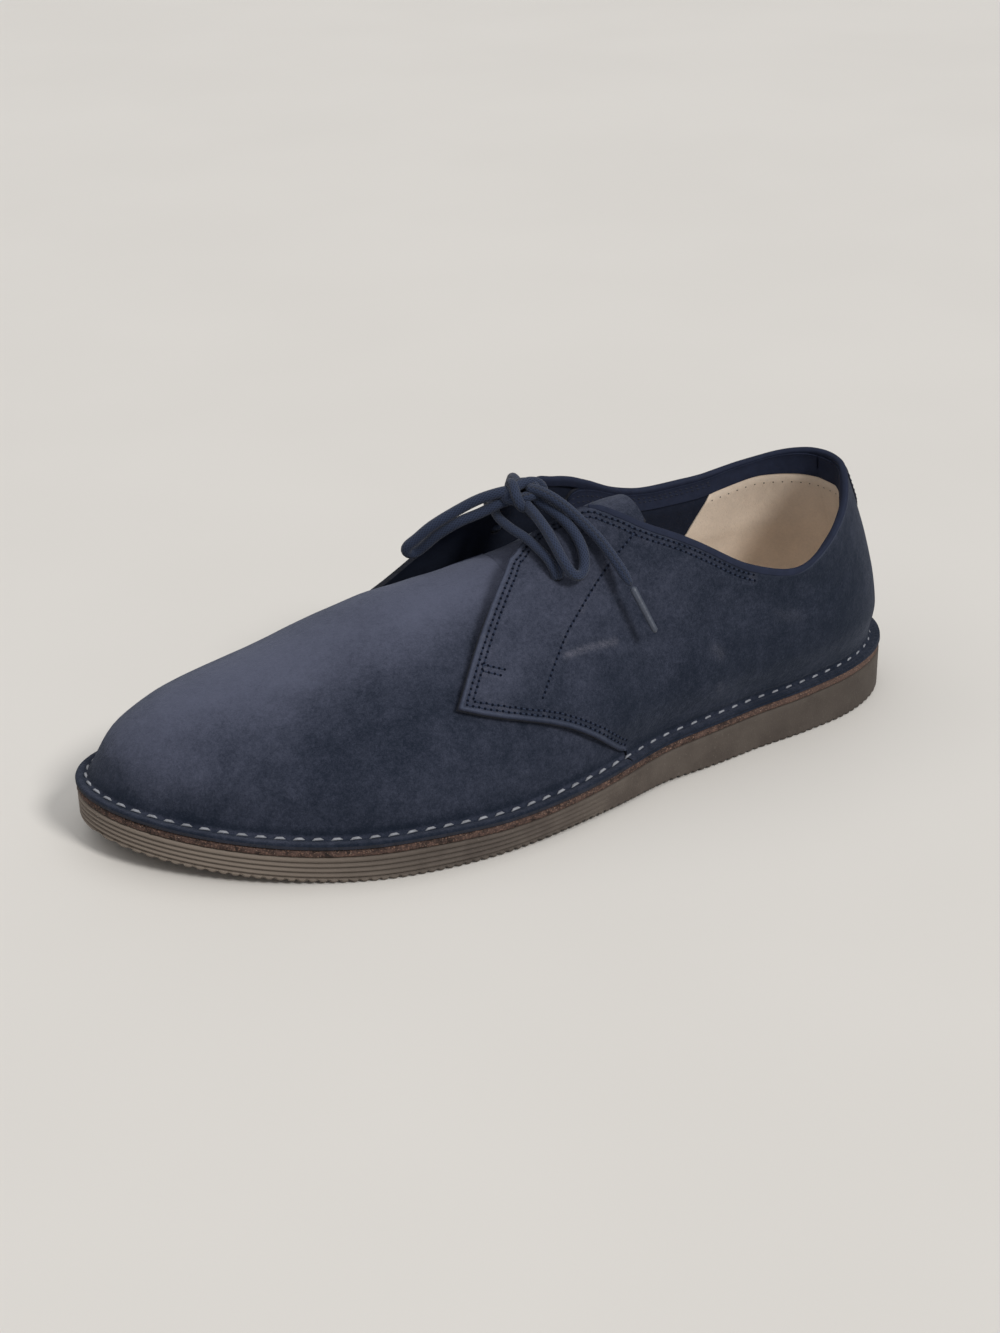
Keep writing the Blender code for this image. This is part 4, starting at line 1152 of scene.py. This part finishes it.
def make_heel_lining(inner, normals, finish, hole):
    half = inner.shape[1] // 2
    ahead = inner[..., 0] - LINING_FRONT[0] - LINING_LEAN * (inner[..., 2] - LINING_FRONT[1])
    rows = np.arange(10, inner.shape[0])
    lateral = [crossing(ahead[row, :half]) for row in rows]
    medial = [-1.0 - crossing(ahead[row, :half:-1]) for row in rows]
    face, outs = inside_patch(
        "heel_lining", inner, normals, lambda row: [np.interp(row, rows, end) for end in (medial, lateral)],
        (inner.shape[0] - 6.0, 10.0), LINING_GRID, finish, "lining", proud=0.55, thick=0.5,
    )
    # Dark discs of painted shade stand in for the needle holes.
    holes = [(face[LINING_HOLES], -outs[LINING_HOLES])]
    painted_needle_hole_shades("heel_lining_painted_hole_shades", holes, hole, "lining", 3.4, width=0.55)


# ---- the tongue ----
TONGUE_ROWS, TONGUE_ACROSS = 15, 11
# How far the tongue reaches to each side of the last's middle, and how far it lies below the last.
TONGUE = (
    ("x", "lateral", "medial", "drop"), (-13.0, 11.0, 11.0, 1.2), (0.0, 15.0, 14.0, 1.2),
    (14.0, 18.0, 15.0, 1.6), (28.0, 20.0, 14.0, 3.2), (38.0, 20.0, 12.5, 7.0), (45.0, 17.0, 11.0, 10.5),
    (49.0, 11.0, 7.0, 12.6),
)


def on_last(x, across, side):
    """The place on the last at a distance across from its middle."""
    station = station_of(x)
    ratio = min(0.97, across / float(half_width(station, side, WELT)))
    height = float(ridge(station)) * (1 - ratio**2) ** (1 / fullness(station, side))
    return (x, *section(x, height, side))


def within(places, ring):
    """How far each place lies inside a closed line seen from above; below 0 outside it."""
    ring = np.asarray(ring)[:, :2]
    after = np.roll(ring, -1, axis=0)
    flat = places.reshape(-1, 3)[:, :2]
    crossed = np.zeros(len(flat), int)
    for (x0, y0), (x1, y1) in zip(ring, after):
        level = (flat[:, 1] < y0) != (flat[:, 1] < y1)
        crossed += level & (flat[:, 0] < x0 + (flat[:, 1] - y0) / (y1 - y0 + 1e-12) * (x1 - x0))
    edge = spaced(np.concatenate([ring, ring[:1]]), 0.3)
    away = from_line(np.c_[flat, 0 * flat[:, 0]], np.c_[edge, 0 * edge[:, 0]])
    return (away * np.where(crossed % 2, 1, -1)).reshape(places.shape[:-1])


# The tongue is cut wider at the throat on the medial side, and dips behind the knot: where, over
# what reach, how much.
TONGUE_EAR, TONGUE_DIP = (7.0, 12.0, 9.0), (27.0, 11.0, 2.6)


def make_tongue(upper, finishes):
    where, reach, more = TONGUE_EAR
    dip_at, dip_reach, dip = TONGUE_DIP
    columns = []
    for across in np.linspace(-1, 1, TONGUE_ACROSS):
        side = LATERAL if across < 0 else MEDIAL
        column = []
        for x in np.linspace(TONGUE[-1][0], TONGUE[1][0], TONGUE_ROWS):
            half = float(smooth(TONGUE, SIDE_NAMES[side], x))
            half += more * float(hump(x - where, reach)) * (side == MEDIAL)
            column.append(np.array(on_last(float(x), abs(across) * half, side)))
        columns.append(column)
    grid = finer(np.array(columns), 55, 80)
    normals = normals_of(grid)
    x = grid[..., 0]
    inside = within(grid, upper[-1])
    open_above = over(inside, -1.6, 0.3)
    shown = open_above * (1 - over(x, -2.0, 11.0))
    lower = (1 - shown) * smooth(TONGUE, "drop", x) + dip * hump(x - dip_at, dip_reach)
    outer = grid - (0, 0, 1.0) * lower[..., None]
    outer = outer - normals * (0.1 + (UPPER_WALL + 0.7) * (1 - open_above))[..., None]
    outer = outer + normals * (0.25 * waves(outer, 12.0, 21.0) * over(x, 2.0, 14.0))[..., None]
    inner = outer - normals * TONGUE_WALL
    # Its tone is the vamp's pile mixed with painted light and shade, a little darker.
    marks = marks_of(nap_and_painted_light_of(outer, normals) * 0.84)
    piece = shell("tongue_leaf", outer, inner, finishes, "tongue", soften=0.8, marks=marks)
    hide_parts("tongue")


# ---- the heel tab ----
TAB_HEIGHT, TAB_WALL, TAB_TURN = 13.0, 0.55, 0.075


def make_heel_tab(finishes, thread):
    columns = []
    for turn in np.linspace(-TAB_TURN, TAB_TURN, 9):
        side = LATERAL if turn >= 0 else MEDIAL
        x, height = quarter_edge(abs(turn), side)
        along = heel_end(height) - x
        low = height - TAB_HEIGHT
        ends = (heel_end(low) - along * 0.8, low), (x, height + 0.6)
        columns.append(path_on_last(*ends, side, 5, ((1.0, round_path),)))
    grid = finer(np.array(columns).transpose(1, 0, 2), 24, 50)
    normals = normals_of(grid)
    inner = grid + normals * (QUARTER_GAP + QUARTER_WALL + 0.05)
    thick = TAB_WALL * (0.25 + 0.75 * over(np.arange(len(grid)), 0.0, 7.0))
    outer = inner + normals * thick[:, None, None]
    marks = marks_of(np.zeros(outer.shape[:2]))
    piece = shell("heel_patch", outer, inner, finishes, "suede", soften=0.35, marks=marks)
    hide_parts("heel_tab")
    line = np.concatenate([outer[:-1, 2][::-1], outer[2, 2:-2], outer[:-1, -3]])
    line = spaced(line, 0.6)
    outs = nearest(tree_of(outer), line, 1)
    stitches("heel_patch_stitches", [(line - outs * 0.05, outs)], thread, "suede", STITCH_PITCH,
             share=0.62, width=0.5, height=0.12)


# ---- the sole ----
SOLE_STATIONS = 620
TREAD_PITCH, TREAD_DEPTH, TREAD_SLOPE = 3.1, 0.95, 3.2
RIBS, RIB_DEPTH = 4, 0.9
RIB_START, RIB_REACH = 0.42, 0.2   # share of the length where the ribs set in, and over what share


def sole_turns(stations):
    """Turns up the lateral side and back down the medial side that lie opposite each other."""
    half = (np.arange(stations) + 0.5) / stations
    return np.concatenate([half, 2 - half[::-1]])


def loft_sole(name, levels, stations, finish, slot, across=1, rough=None):
    """A solid from rings of the plan, with rows of points across its foot and its top."""
    grid = plan_rings(levels, sole_turns(stations))
    if rough is not None:
        grid = rough(grid)
    size = 2 * stations
    points = [grid.reshape(-1, 3)]
    faces = grid_quads(len(levels), size, closed=True).tolist()
    for level, flip in ((0, False), (len(levels) - 1, True)):
        ids = [level * size + np.arange(stations)]
        for k in range(1, across):
            row = between((grid[level, :stations], grid[level, :stations - 1:-1]), k / across)
            row[:, 2] = [float(levels[level][1](x)) for x in row[:, 0]]
            ids.append(sum(map(len, points)) + np.arange(stations))
            points.append(row)
        ids = np.array([*ids, level * size + size - 1 - np.arange(stations)])
        quads = np.stack([ids[:-1, :-1], ids[:-1, 1:], ids[1:, 1:], ids[1:, :-1]], axis=-1).reshape(-1, 4)
        faces += (quads[:, ::-1] if flip else quads).tolist()
        if across > 1:
            first, last = ids[:, 0].tolist(), ids[:, -1].tolist()
            faces += [first, last[::-1]] if flip else [first[::-1], last]
    piece = add_piece(name, np.concatenate(points), faces, (finish,), slot)
    outward_faces(piece)
    return piece


def ground(x):
    return float(spring(x)) + float(smooth(SOLE, "arch", share_of(x)))


def tread(x):
    """Height of the tread's cross teeth."""
    phase = (x / TREAD_PITCH) % 1.0
    return TREAD_DEPTH * max(0.0, 1 - TREAD_SLOPE * min(phase, 1 - phase))


def rib_depth(turn):
    """Depth of the side grooves: full round the forefoot, and gone behind the waist."""
    share = (1 - math.cos(math.pi * turn)) / 2
    return RIB_DEPTH * float(ease((share - RIB_START) / RIB_REACH))


def make_outsole(finish):
    top = above_seat(-2 * GAP - MIDSOLE)

    def part_way(way):
        return lambda x: between((ground(x), top(x)), way)

    def groove(share):
        return lambda turn: 0.3 + share * rib_depth(turn)

    levels = [(1.2, lambda x: ground(x) + tread(x)), (0.45, lambda x: ground(x) + 0.25 + tread(x)),
              (0.3, lambda x: ground(x) + 0.9 + 0.5 * tread(x))]
    steps = ((0, 0.28), (0.035, groove(0.7)), (0.065, groove(1)), (0.095, groove(0.7)), (0.13, 0.28))
    for rib in range(RIBS):
        levels += [(inset, part_way(0.12 + 0.8 * rib / RIBS + step)) for step, inset in steps]
    levels += [(0.3, lambda x: top(x) - 0.5), (0.7, top)]
    piece = loft_sole("rubber_sole", levels, SOLE_STATIONS, finish, "outsole", across=6)
    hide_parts("outsole")


def make_midsole(finish):
    insets = (0.9, 0.45, 0.35, 0.35, 0.45, 0.9)
    rises = (-MIDSOLE - 0.05, -MIDSOLE + 0.25, -MIDSOLE * 0.66, -MIDSOLE * 0.33, -0.25, 0.05)
    levels = [(inset, above_seat(rise - GAP)) for inset, rise in zip(insets, rises)]

    def rough(grid):
        middle = grid.mean(axis=(0, 1))
        out = grid - middle
        out[..., 2] = 0
        return grid + unit(out) * (0.22 * waves(grid, 2.2, 31.0) + 0.15 * waves(grid, 0.9, 33.0))[..., None]

    piece = loft_sole("leather_midsole", levels, SOLE_STATIONS, finish, "midsole", rough=rough)
    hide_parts("midsole")


def make_insole(finish):
    inset = WELT + UPPER_WALL + 1.2
    rises = ((0, 0), (-0.2, INSOLE * 0.6), (0, INSOLE), (1.2, INSOLE + 0.3))
    levels = [(inset + more, above_seat(GAP + rise)) for more, rise in rises]
    piece = loft_sole("sock", levels, 160, finish, "lining", across=10)
    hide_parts("insole")


# ---- the lace ----
TUBE_SIDES = 14
SLEEVE = 2.5          # across the sleeve at each end of the lace


def framed(line):
    """Directions across a line, turned as little as possible along it."""
    tangents = unit(np.gradient(line, axis=0))
    across = unit(np.cross(tangents[0], ANYWHERE))
    first, second = [], []
    for tangent in tangents:
        across = unit(across - tangent * (across @ tangent))
        first.append(across)
        second.append(np.cross(tangent, across))
    return np.array(first), np.array(second)


def tube(line, width):
    """(points, faces, uv) of a cord along a line, rounded off at both ends. width may change."""
    width = np.broadcast_to(width, len(line)) / 2
    run = run_of(line)
    near = np.minimum(run, run[-1] - run) / (0.7 * width + 1e-9)
    width = width * np.sqrt(np.clip(1 - (1 - np.clip(near, 0.05, 1)) ** 2, 0, 1))
    angles = 2 * math.pi * np.arange(TUBE_SIDES) / TUBE_SIDES
    circle = [(math.cos(a), math.sin(a)) for a in angles]
    return strip(line, *framed(line), circle, width)


def make_bars(finish):
    tubes = []
    for strand, behind in ((FRONT_STRAND, -0.7), (REAR_STRAND, 0.7)):
        ends = []
        for side in (LATERAL, MEDIAL):
            middle, out = eyelet(side)
            ends.append([middle + out * depth + (behind, 0, 0) for depth in (1.0, -0.8, -2.6)])
        lateral, medial = ends
        tubes.append(tube(line_through([*lateral[::-1], *strand[1:-1], *medial], 0.9), LACE * 0.86))
    piece = swept_piece("lace_strands", tubes, finish, "lace")
    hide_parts("lace_bars")


# The knot's turns: one over the top, one down its front, one across the strands, and its core.
KNOT_TURNS = (
    ((2.4, 3.6, 95.8), (2.8, 2.2, 99.0), (5.4, 2.0, 101.3), (9.8, 2.4, 101.9), (13.8, 2.8, 100.8),
     (16.4, 3.4, 97.8), (15.8, 4.6, 95.0)),
    ((5.6, 7.4, 97.0), (5.0, 5.4, 101.2), (4.2, 1.8, 102.0), (3.6, -1.4, 99.8), (4.6, -2.6, 96.6),
     (6.6, -1.2, 94.4)),
    ((1.4, 5.0, 97.6), (3.8, 0.8, 97.4), (8.4, -1.2, 98.4), (12.8, -0.8, 98.2), (15.6, 1.8, 97.0),
     (16.0, 5.0, 96.4)),
    ((3.5, 5.5, 96.0), (7.5, 2.4, 95.6), (12.0, 1.4, 95.8), (15.0, 3.6, 96.0)),
    ((6.5, 6.8, 96.2), (8.0, 6.2, 100.0), (10.5, 3.5, 101.2), (12.0, 0.6, 100.2), (12.0, -1.4, 97.8),
     (10.6, -0.6, 95.4)),
)


def make_knot(finish):
    tubes = [tube(line_through(turn, 0.8), LACE * 0.95) for turn in KNOT_TURNS]
    piece = swept_piece("lace_knot_turns", tubes, finish, "lace")
    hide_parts("lace_knot")
    return piece


def make_cords(finish, tip_finish):
    knot = make_knot(finish)
    for side, places in (("lateral", LATERAL_LOOP), ("medial", MEDIAL_LOOP)):
        line = line_through(places, 1.0)
        loop = swept_piece("lace_bow_" + side, [tube(line, LACE * 0.97)], finish, "lace")
        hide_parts("lace_loop_" + side)
    for side, places, tip in (("lateral", LATERAL_END, LATERAL_TIP), ("medial", MEDIAL_END, MEDIAL_TIP)):
        line = line_through(places, 1.0)
        run = run_of(line)
        slim = 1 - 0.35 * over(run, run[-1] - 5, run[-1])
        end = swept_piece("lace_tail_" + side, [tube(line, LACE * 0.95 * slim)], finish, "lace")
        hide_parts("lace_end_" + side)
        tip_line = spaced(np.array(tip), 0.8)
        film = 1 - 0.12 * over(run_of(tip_line), 3.0, 16.0)
        sleeve = swept_piece("lace_sleeve_" + side, [tube(tip_line, SLEEVE * film)], tip_finish, "tip")
        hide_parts("lace_tip_" + side)


# ---- stitches of the welt ----
WELT_PITCH = 6.1
WELT_STITCH_INSET = 3.35


def make_welt_stitches(finish):
    line = flange_rings(((WELT_STITCH_INSET, 2.1),), 2 * np.arange(721) / 720)[0]
    outward = np.tile((0.0, 0.0, 1.0), (len(line), 1))
    stitches("welt_stitches", [(line, outward)], finish, "suede", WELT_PITCH,
             share=0.64, width=1.10, height=0.45, slant=0.04)


# ---- finishes ----
class Signal:
    """A socket of a finish. Sums on it add Math nodes."""

    def __init__(self, finish, socket):
        self.finish, self.socket = finish, socket

    def math(self, operation, *others):
        values = dict(enumerate((self, *others)))
        return self.finish.node("ShaderNodeMath", {"operation": operation}, values)

    def __add__(self, other):
        return self.math("ADD", other)

    def __sub__(self, other):
        return self.math("SUBTRACT", other)

    def __mul__(self, other):
        return self.math("MULTIPLY", other)

    def __rsub__(self, other):
        return self.finish.node("ShaderNodeMath", {"operation": "SUBTRACT"}, {0: other, 1: self})

    __radd__, __rmul__ = __add__, __mul__

    def between(self, low, high):
        """0 at low and 1 at high, with a soft step between."""
        return self.finish.node(
            "ShaderNodeMapRange", {"interpolation_type": "SMOOTHSTEP", "clamp": True},
            {"Value": self, "From Min": low, "From Max": high},
        )


class Finish:
    """A material, with the few nodes that its finishes are made of."""

    def __init__(self, name, roughness, **constants):
        self.material = bpy.data.materials.new(name)
        self.material.use_nodes = True
        self.tree = self.material.node_tree
        self.shader = self.tree.nodes["Principled BSDF"]
        self.shader.inputs["Roughness"].default_value = roughness
        for socket, value in constants.items():
            self.shader.inputs[socket.replace("_", " ")].default_value = value
        self.places = self.node("ShaderNodeTexCoord", {}, {}, "Object")

    def node(self, kind, settings, values, output=0):
        made = self.tree.nodes.new(kind)
        for name, value in settings.items():
            setattr(made, name, value)
        for name, value in values.items():
            self.feed(made.inputs[name], value)
        return Signal(self, made.outputs[output])

    def feed(self, socket, value):
        if isinstance(value, Signal):
            self.tree.links.new(value.socket, socket)
        else:
            socket.default_value = value

    def made(self, colour, normal=None):
        """The material, with its colour and the normal of its relief."""
        self.feed(self.shader.inputs["Base Color"], colour)
        if normal is not None:
            self.feed(self.shader.inputs["Normal"], normal)
        return self.material

    def noise(self, size, detail=3.0, roughness=0.55, distortion=0.0):
        """Lumps of about a size in mm."""
        values = {"Vector": self.places, "Scale": 1 / (size * MM), "Detail": detail, "Roughness": roughness}
        return self.node("ShaderNodeTexNoise", {}, {**values, "Distortion": distortion})

    def cells(self, size):
        return self.node("ShaderNodeTexVoronoi", {}, {"Vector": self.places, "Scale": 1 / (size * MM)})

    def axis(self, vector, name="X"):
        return self.node("ShaderNodeSeparateXYZ", {}, {"Vector": vector}, name)

    def mark(self, name):
        return self.node("ShaderNodeAttribute", {"attribute_name": name}, {}, "Fac")

    def mix(self, amount, first, second):
        """A colour between two."""
        first, second = (c if isinstance(c, Signal) else (*c, 1.0) for c in (first, second))
        return self.node("ShaderNodeMix", {"data_type": "RGBA"}, {0: amount, 6: first, 7: second}, 2)

    def bump(self, height, depth, normal=None):
        """A normal from a height, whose whole range is depth mm."""
        values = {"Height": height, "Strength": 1.0, "Distance": depth * MM}
        if normal is not None:
            values["Normal"] = normal
        return self.node("ShaderNodeBump", {}, values)


def times(colour, share):
    return tuple(share * c for c in colour)


def suede(name, dark, light):
    """Suede: short fibres, a soft cloud in the pile, the pile's tone mixed with painted light and shade, a
    painted highlight and a painted shadow line along each cut edge, and rubbed places.
    """
    finish = Finish(name, 0.92, Sheen_Weight=0.13, Sheen_Roughness=0.5, Sheen_Tint=(0.62, 0.68, 0.85, 1.0),
                    Specular_IOR_Level=0.12)
    cloud = finish.noise(22.0, 3.0, 0.55, distortion=0.5).between(0.3, 0.7)
    mottle = finish.noise(4.0, 4.0, 0.65).between(0.25, 0.75)
    fibre = finish.noise(0.42, 3.0, 0.75)
    blotch = finish.noise(9.0, 3.0, 0.6, distortion=0.8).between(0.60, 0.78)
    grain = finish.noise(1.1, 3.0, 0.7)
    # The first mark paints light and shade into the suede, mixed with its pile's tone.
    share = finish.mark("nap_and_painted_light") * 0.74 + cloud * 0.15 + mottle * 0.14 - blotch * 0.07
    share = share + (fibre - 0.5) * 0.55 + (grain - 0.5) * 0.5
    colour = finish.mix(share.between(-0.12, 1.06), dark, light)
    # Painted highlight just inside each cut edge.
    colour = finish.mix(finish.mark("edge") * 0.42, colour, (0.088, 0.105, 0.16))
    # Painted shadow line at the very edge.
    colour = finish.mix(finish.mark("fold") * 0.8, colour, (0.008, 0.010, 0.020))
    worn = finish.mark("wear") * (fibre.between(0.35, 0.62) * 0.7 + 0.3)
    colour = finish.mix(worn, colour, (0.15, 0.15, 0.185))
    return finish.made(colour, finish.bump(fibre, 0.16, finish.bump(mottle, 0.22)))


def plain(name, colour, roughness, depth=0.12, spread=0.12, **constants):
    finish = Finish(name, roughness, **constants)
    shade = finish.noise(3.0, 4.0).between(0.25, 0.75)
    colour = finish.mix(shade, times(colour, 1 - spread), times(colour, 1 + spread))
    return finish.made(colour, finish.bump(finish.noise(0.8, 3.0), depth))


def woven(name, dark, light, strands=12, pitch=1.5):
    """A round braid: strands that cross, from the places along and round the cord, with painted shade in
    the grooves between them and painted light on their crowns.
    """
    finish = Finish(name, 0.72, Sheen_Weight=0.12, Specular_IOR_Level=0.2)
    lay = finish.node("ShaderNodeUVMap", {"uv_map": "lay"}, {})
    across, along = finish.axis(lay) * strands, finish.axis(lay, "Y") * (2 * math.pi / pitch)
    first, second = ((across + along).math("SINE"), (across - along).math("SINE"))
    height = first.math("MAXIMUM", second).between(-0.2, 1.0)
    # Painted shade in the braid's grooves and painted light on its crowns.
    return finish.made(finish.mix(height, dark, light), finish.bump(height, 0.10))


def lining_leather(name, colour):
    """Beige lining leather: fine pores, faint creases and darker rubbed patches."""
    finish = Finish(name, 0.55, Specular_IOR_Level=0.25)
    patch = finish.noise(17.0, 3.0, 0.5).between(0.3, 0.7)
    fine = finish.noise(1.2, 4.0, 0.6).between(0.2, 0.8)
    shade = finish.mix(patch * 0.6 + fine * 0.4, times(colour, 0.86), times(colour, 1.06))
    pores = finish.cells(0.9).between(0.0, 0.35)
    colour = finish.mix((1 - pores) * 0.22, shade, times(colour, 0.55))
    return finish.made(colour, finish.bump(pores, 0.05, finish.bump(finish.noise(3.5, 3.0), 0.15)))


def board(name):
    """The midsole's pressed leather board: dark red-brown with orange flecks and painted pale glints."""
    finish = Finish(name, 0.8, Specular_IOR_Level=0.2)
    clumps = finish.noise(2.4, 4.0, 0.65).between(0.3, 0.7)
    base = finish.mix(clumps, (0.020, 0.014, 0.013), (0.105, 0.064, 0.053))
    flecks = finish.noise(0.55, 2.0, 0.6).between(0.56, 0.66)
    base = finish.mix(finish.axis(finish.places).between(0.05, 0.13) * 0.75, base, (0.105, 0.066, 0.054))
    colour = finish.mix(flecks * 0.6, base, (0.27, 0.16, 0.115))
    # Painted glints: pale specks of highlight.
    painted_glints = finish.noise(0.45, 2.0, 0.6, distortion=1.0).between(0.66, 0.72)
    colour = finish.mix(painted_glints * 0.7, colour, (0.55, 0.42, 0.33))
    return finish.made(colour, finish.bump(finish.noise(0.8, 3.0, 0.7), 0.35))


def rubber_of(name):
    """Taupe rubber: dull and a little dusty, with painted light toward the toe and painted shade toward the
    heel.
    """
    finish = Finish(name, 0.7, Specular_IOR_Level=0.3)
    dust = finish.noise(14.0, 4.0, 0.6).between(0.3, 0.7)
    grain = finish.noise(0.7, 3.0, 0.7)
    colour = finish.mix(dust, (0.066, 0.052, 0.044), (0.100, 0.082, 0.069))
    along = finish.axis(finish.places)
    # Painted shade toward the heel.
    colour = finish.mix(along.between(0.0, 0.13) * 0.5, colour, (0.042, 0.034, 0.029))
    # Painted light toward the toe.
    colour = finish.mix(along.between(-0.04, -0.13) * 0.9, colour, (0.210, 0.172, 0.142))
    colour = finish.mix(grain.between(0.6, 0.75) * 0.35, colour, (0.24, 0.21, 0.18))
    return finish.made(colour, finish.bump(grain, 0.12))


# ---- floor, light and camera ----
AIM = Vector((-0.006, -0.006, 0.040))
EYE = Vector((-0.3194, -0.6216, 0.3920))
LENS = 61.0
ROLL = math.radians(-1.13)


def make_camera():
    data = bpy.data.cameras.new("camera")
    data.lens, data.sensor_width = LENS, 36.0
    data.clip_start, data.clip_end = 0.01, 50.0
    camera = placed("camera", data)
    camera.location = EYE
    aimed = (AIM - EYE).to_track_quat("-Z", "Y").to_matrix()
    camera.rotation_euler = (aimed @ Matrix.Rotation(ROLL, 3, "Z")).to_euler()
    bpy.context.scene.camera = camera


def make_sun(name, place, strength, softness):
    """One wide soft light from a direction. softness is its width in degrees."""
    data = bpy.data.lights.new(name, "SUN")
    data.energy, data.angle, data.color = strength, math.radians(softness), (1.0, 0.985, 0.96)
    light = placed(name, data)
    light.location = place
    light.rotation_euler = (-Vector(place)).to_track_quat("-Z", "Y").to_euler()


def make_floor():
    bpy.ops.mesh.primitive_plane_add(size=6.0, location=(0, 0, 0))
    floor = bpy.context.object
    floor.name = "floor"
    finish = Finish("pale floor", 0.6)
    shade = finish.noise(180.0, 2.0).between(0.3, 0.7)
    floor.data.materials.append(finish.made(finish.mix(shade, (0.70, 0.675, 0.64), (0.715, 0.69, 0.655))))


def make_world():
    world = bpy.data.worlds.new("room")
    world.use_nodes = True
    light = world.node_tree.nodes["Background"].inputs
    light["Color"].default_value, light["Strength"].default_value = (0.95, 0.97, 1.0, 1.0), 0.31
    bpy.context.scene.world = world


# ---- the shoe ----
bpy.context.scene.view_settings.view_transform = "Standard"
make_camera()
make_world()
make_sun("window", (0.25, -0.85, 0.78), 1.9, 14.0)
make_sun("ceiling", (-0.15, 0.05, 1.0), 1.0, 85.0)
make_floor()

body_suede = suede("navy suede", (0.0065, 0.0108, 0.0210), (0.087, 0.095, 0.140))
cut_edge = plain("cut edge", (0.010, 0.012, 0.022), 0.9, 0.5, 0.4)
dark_lining = plain("dark lining", (0.010, 0.014, 0.028), 0.9, Specular_IOR_Level=0.2)
beige = lining_leather("beige lining", (0.82, 0.69, 0.565))
navy_tape = plain("navy binding", (0.014, 0.019, 0.040), 0.8, 0.08, Specular_IOR_Level=0.2)
thread = plain("navy thread", (0.024, 0.034, 0.064), 0.8, Specular_IOR_Level=0.2)
tape_thread = plain("blue thread", (0.008, 0.012, 0.026), 0.8)
# Painted shade: the colour of the discs that stand in for needle holes.
hole = plain("needle hole", (0.003, 0.005, 0.012), 0.95, Specular_IOR_Level=0.1)
welt_thread = plain("pale thread", (0.25, 0.26, 0.29), 0.7, 0.2, 0.25)
lace_finish = woven("navy lace", (0.011, 0.017, 0.036), (0.026, 0.038, 0.076))
tip_finish = plain("lace sleeve", (0.050, 0.060, 0.085), 0.45)
rubber = rubber_of("taupe rubber")
brown = board("pressed leather")

layers = body_suede, dark_lining, cut_edge
outer, inner = make_upper(layers)
normals = normals_of(outer)
lateral = make_quarter(LATERAL, layers, thread, hole)
medial = make_quarter(MEDIAL, layers, thread, hole)
make_binding(((medial, MEDIAL), (lateral, LATERAL)), navy_tape)
make_tape(inner, normals, navy_tape, tape_thread)
make_heel_lining(inner, normals, beige, hole)
make_tongue(outer, layers)
make_heel_tab(layers, thread)
make_outsole(rubber)
make_midsole(brown)
make_insole(beige)
make_welt_stitches(welt_thread)
make_bars(lace_finish)
make_cords(lace_finish, tip_finish)
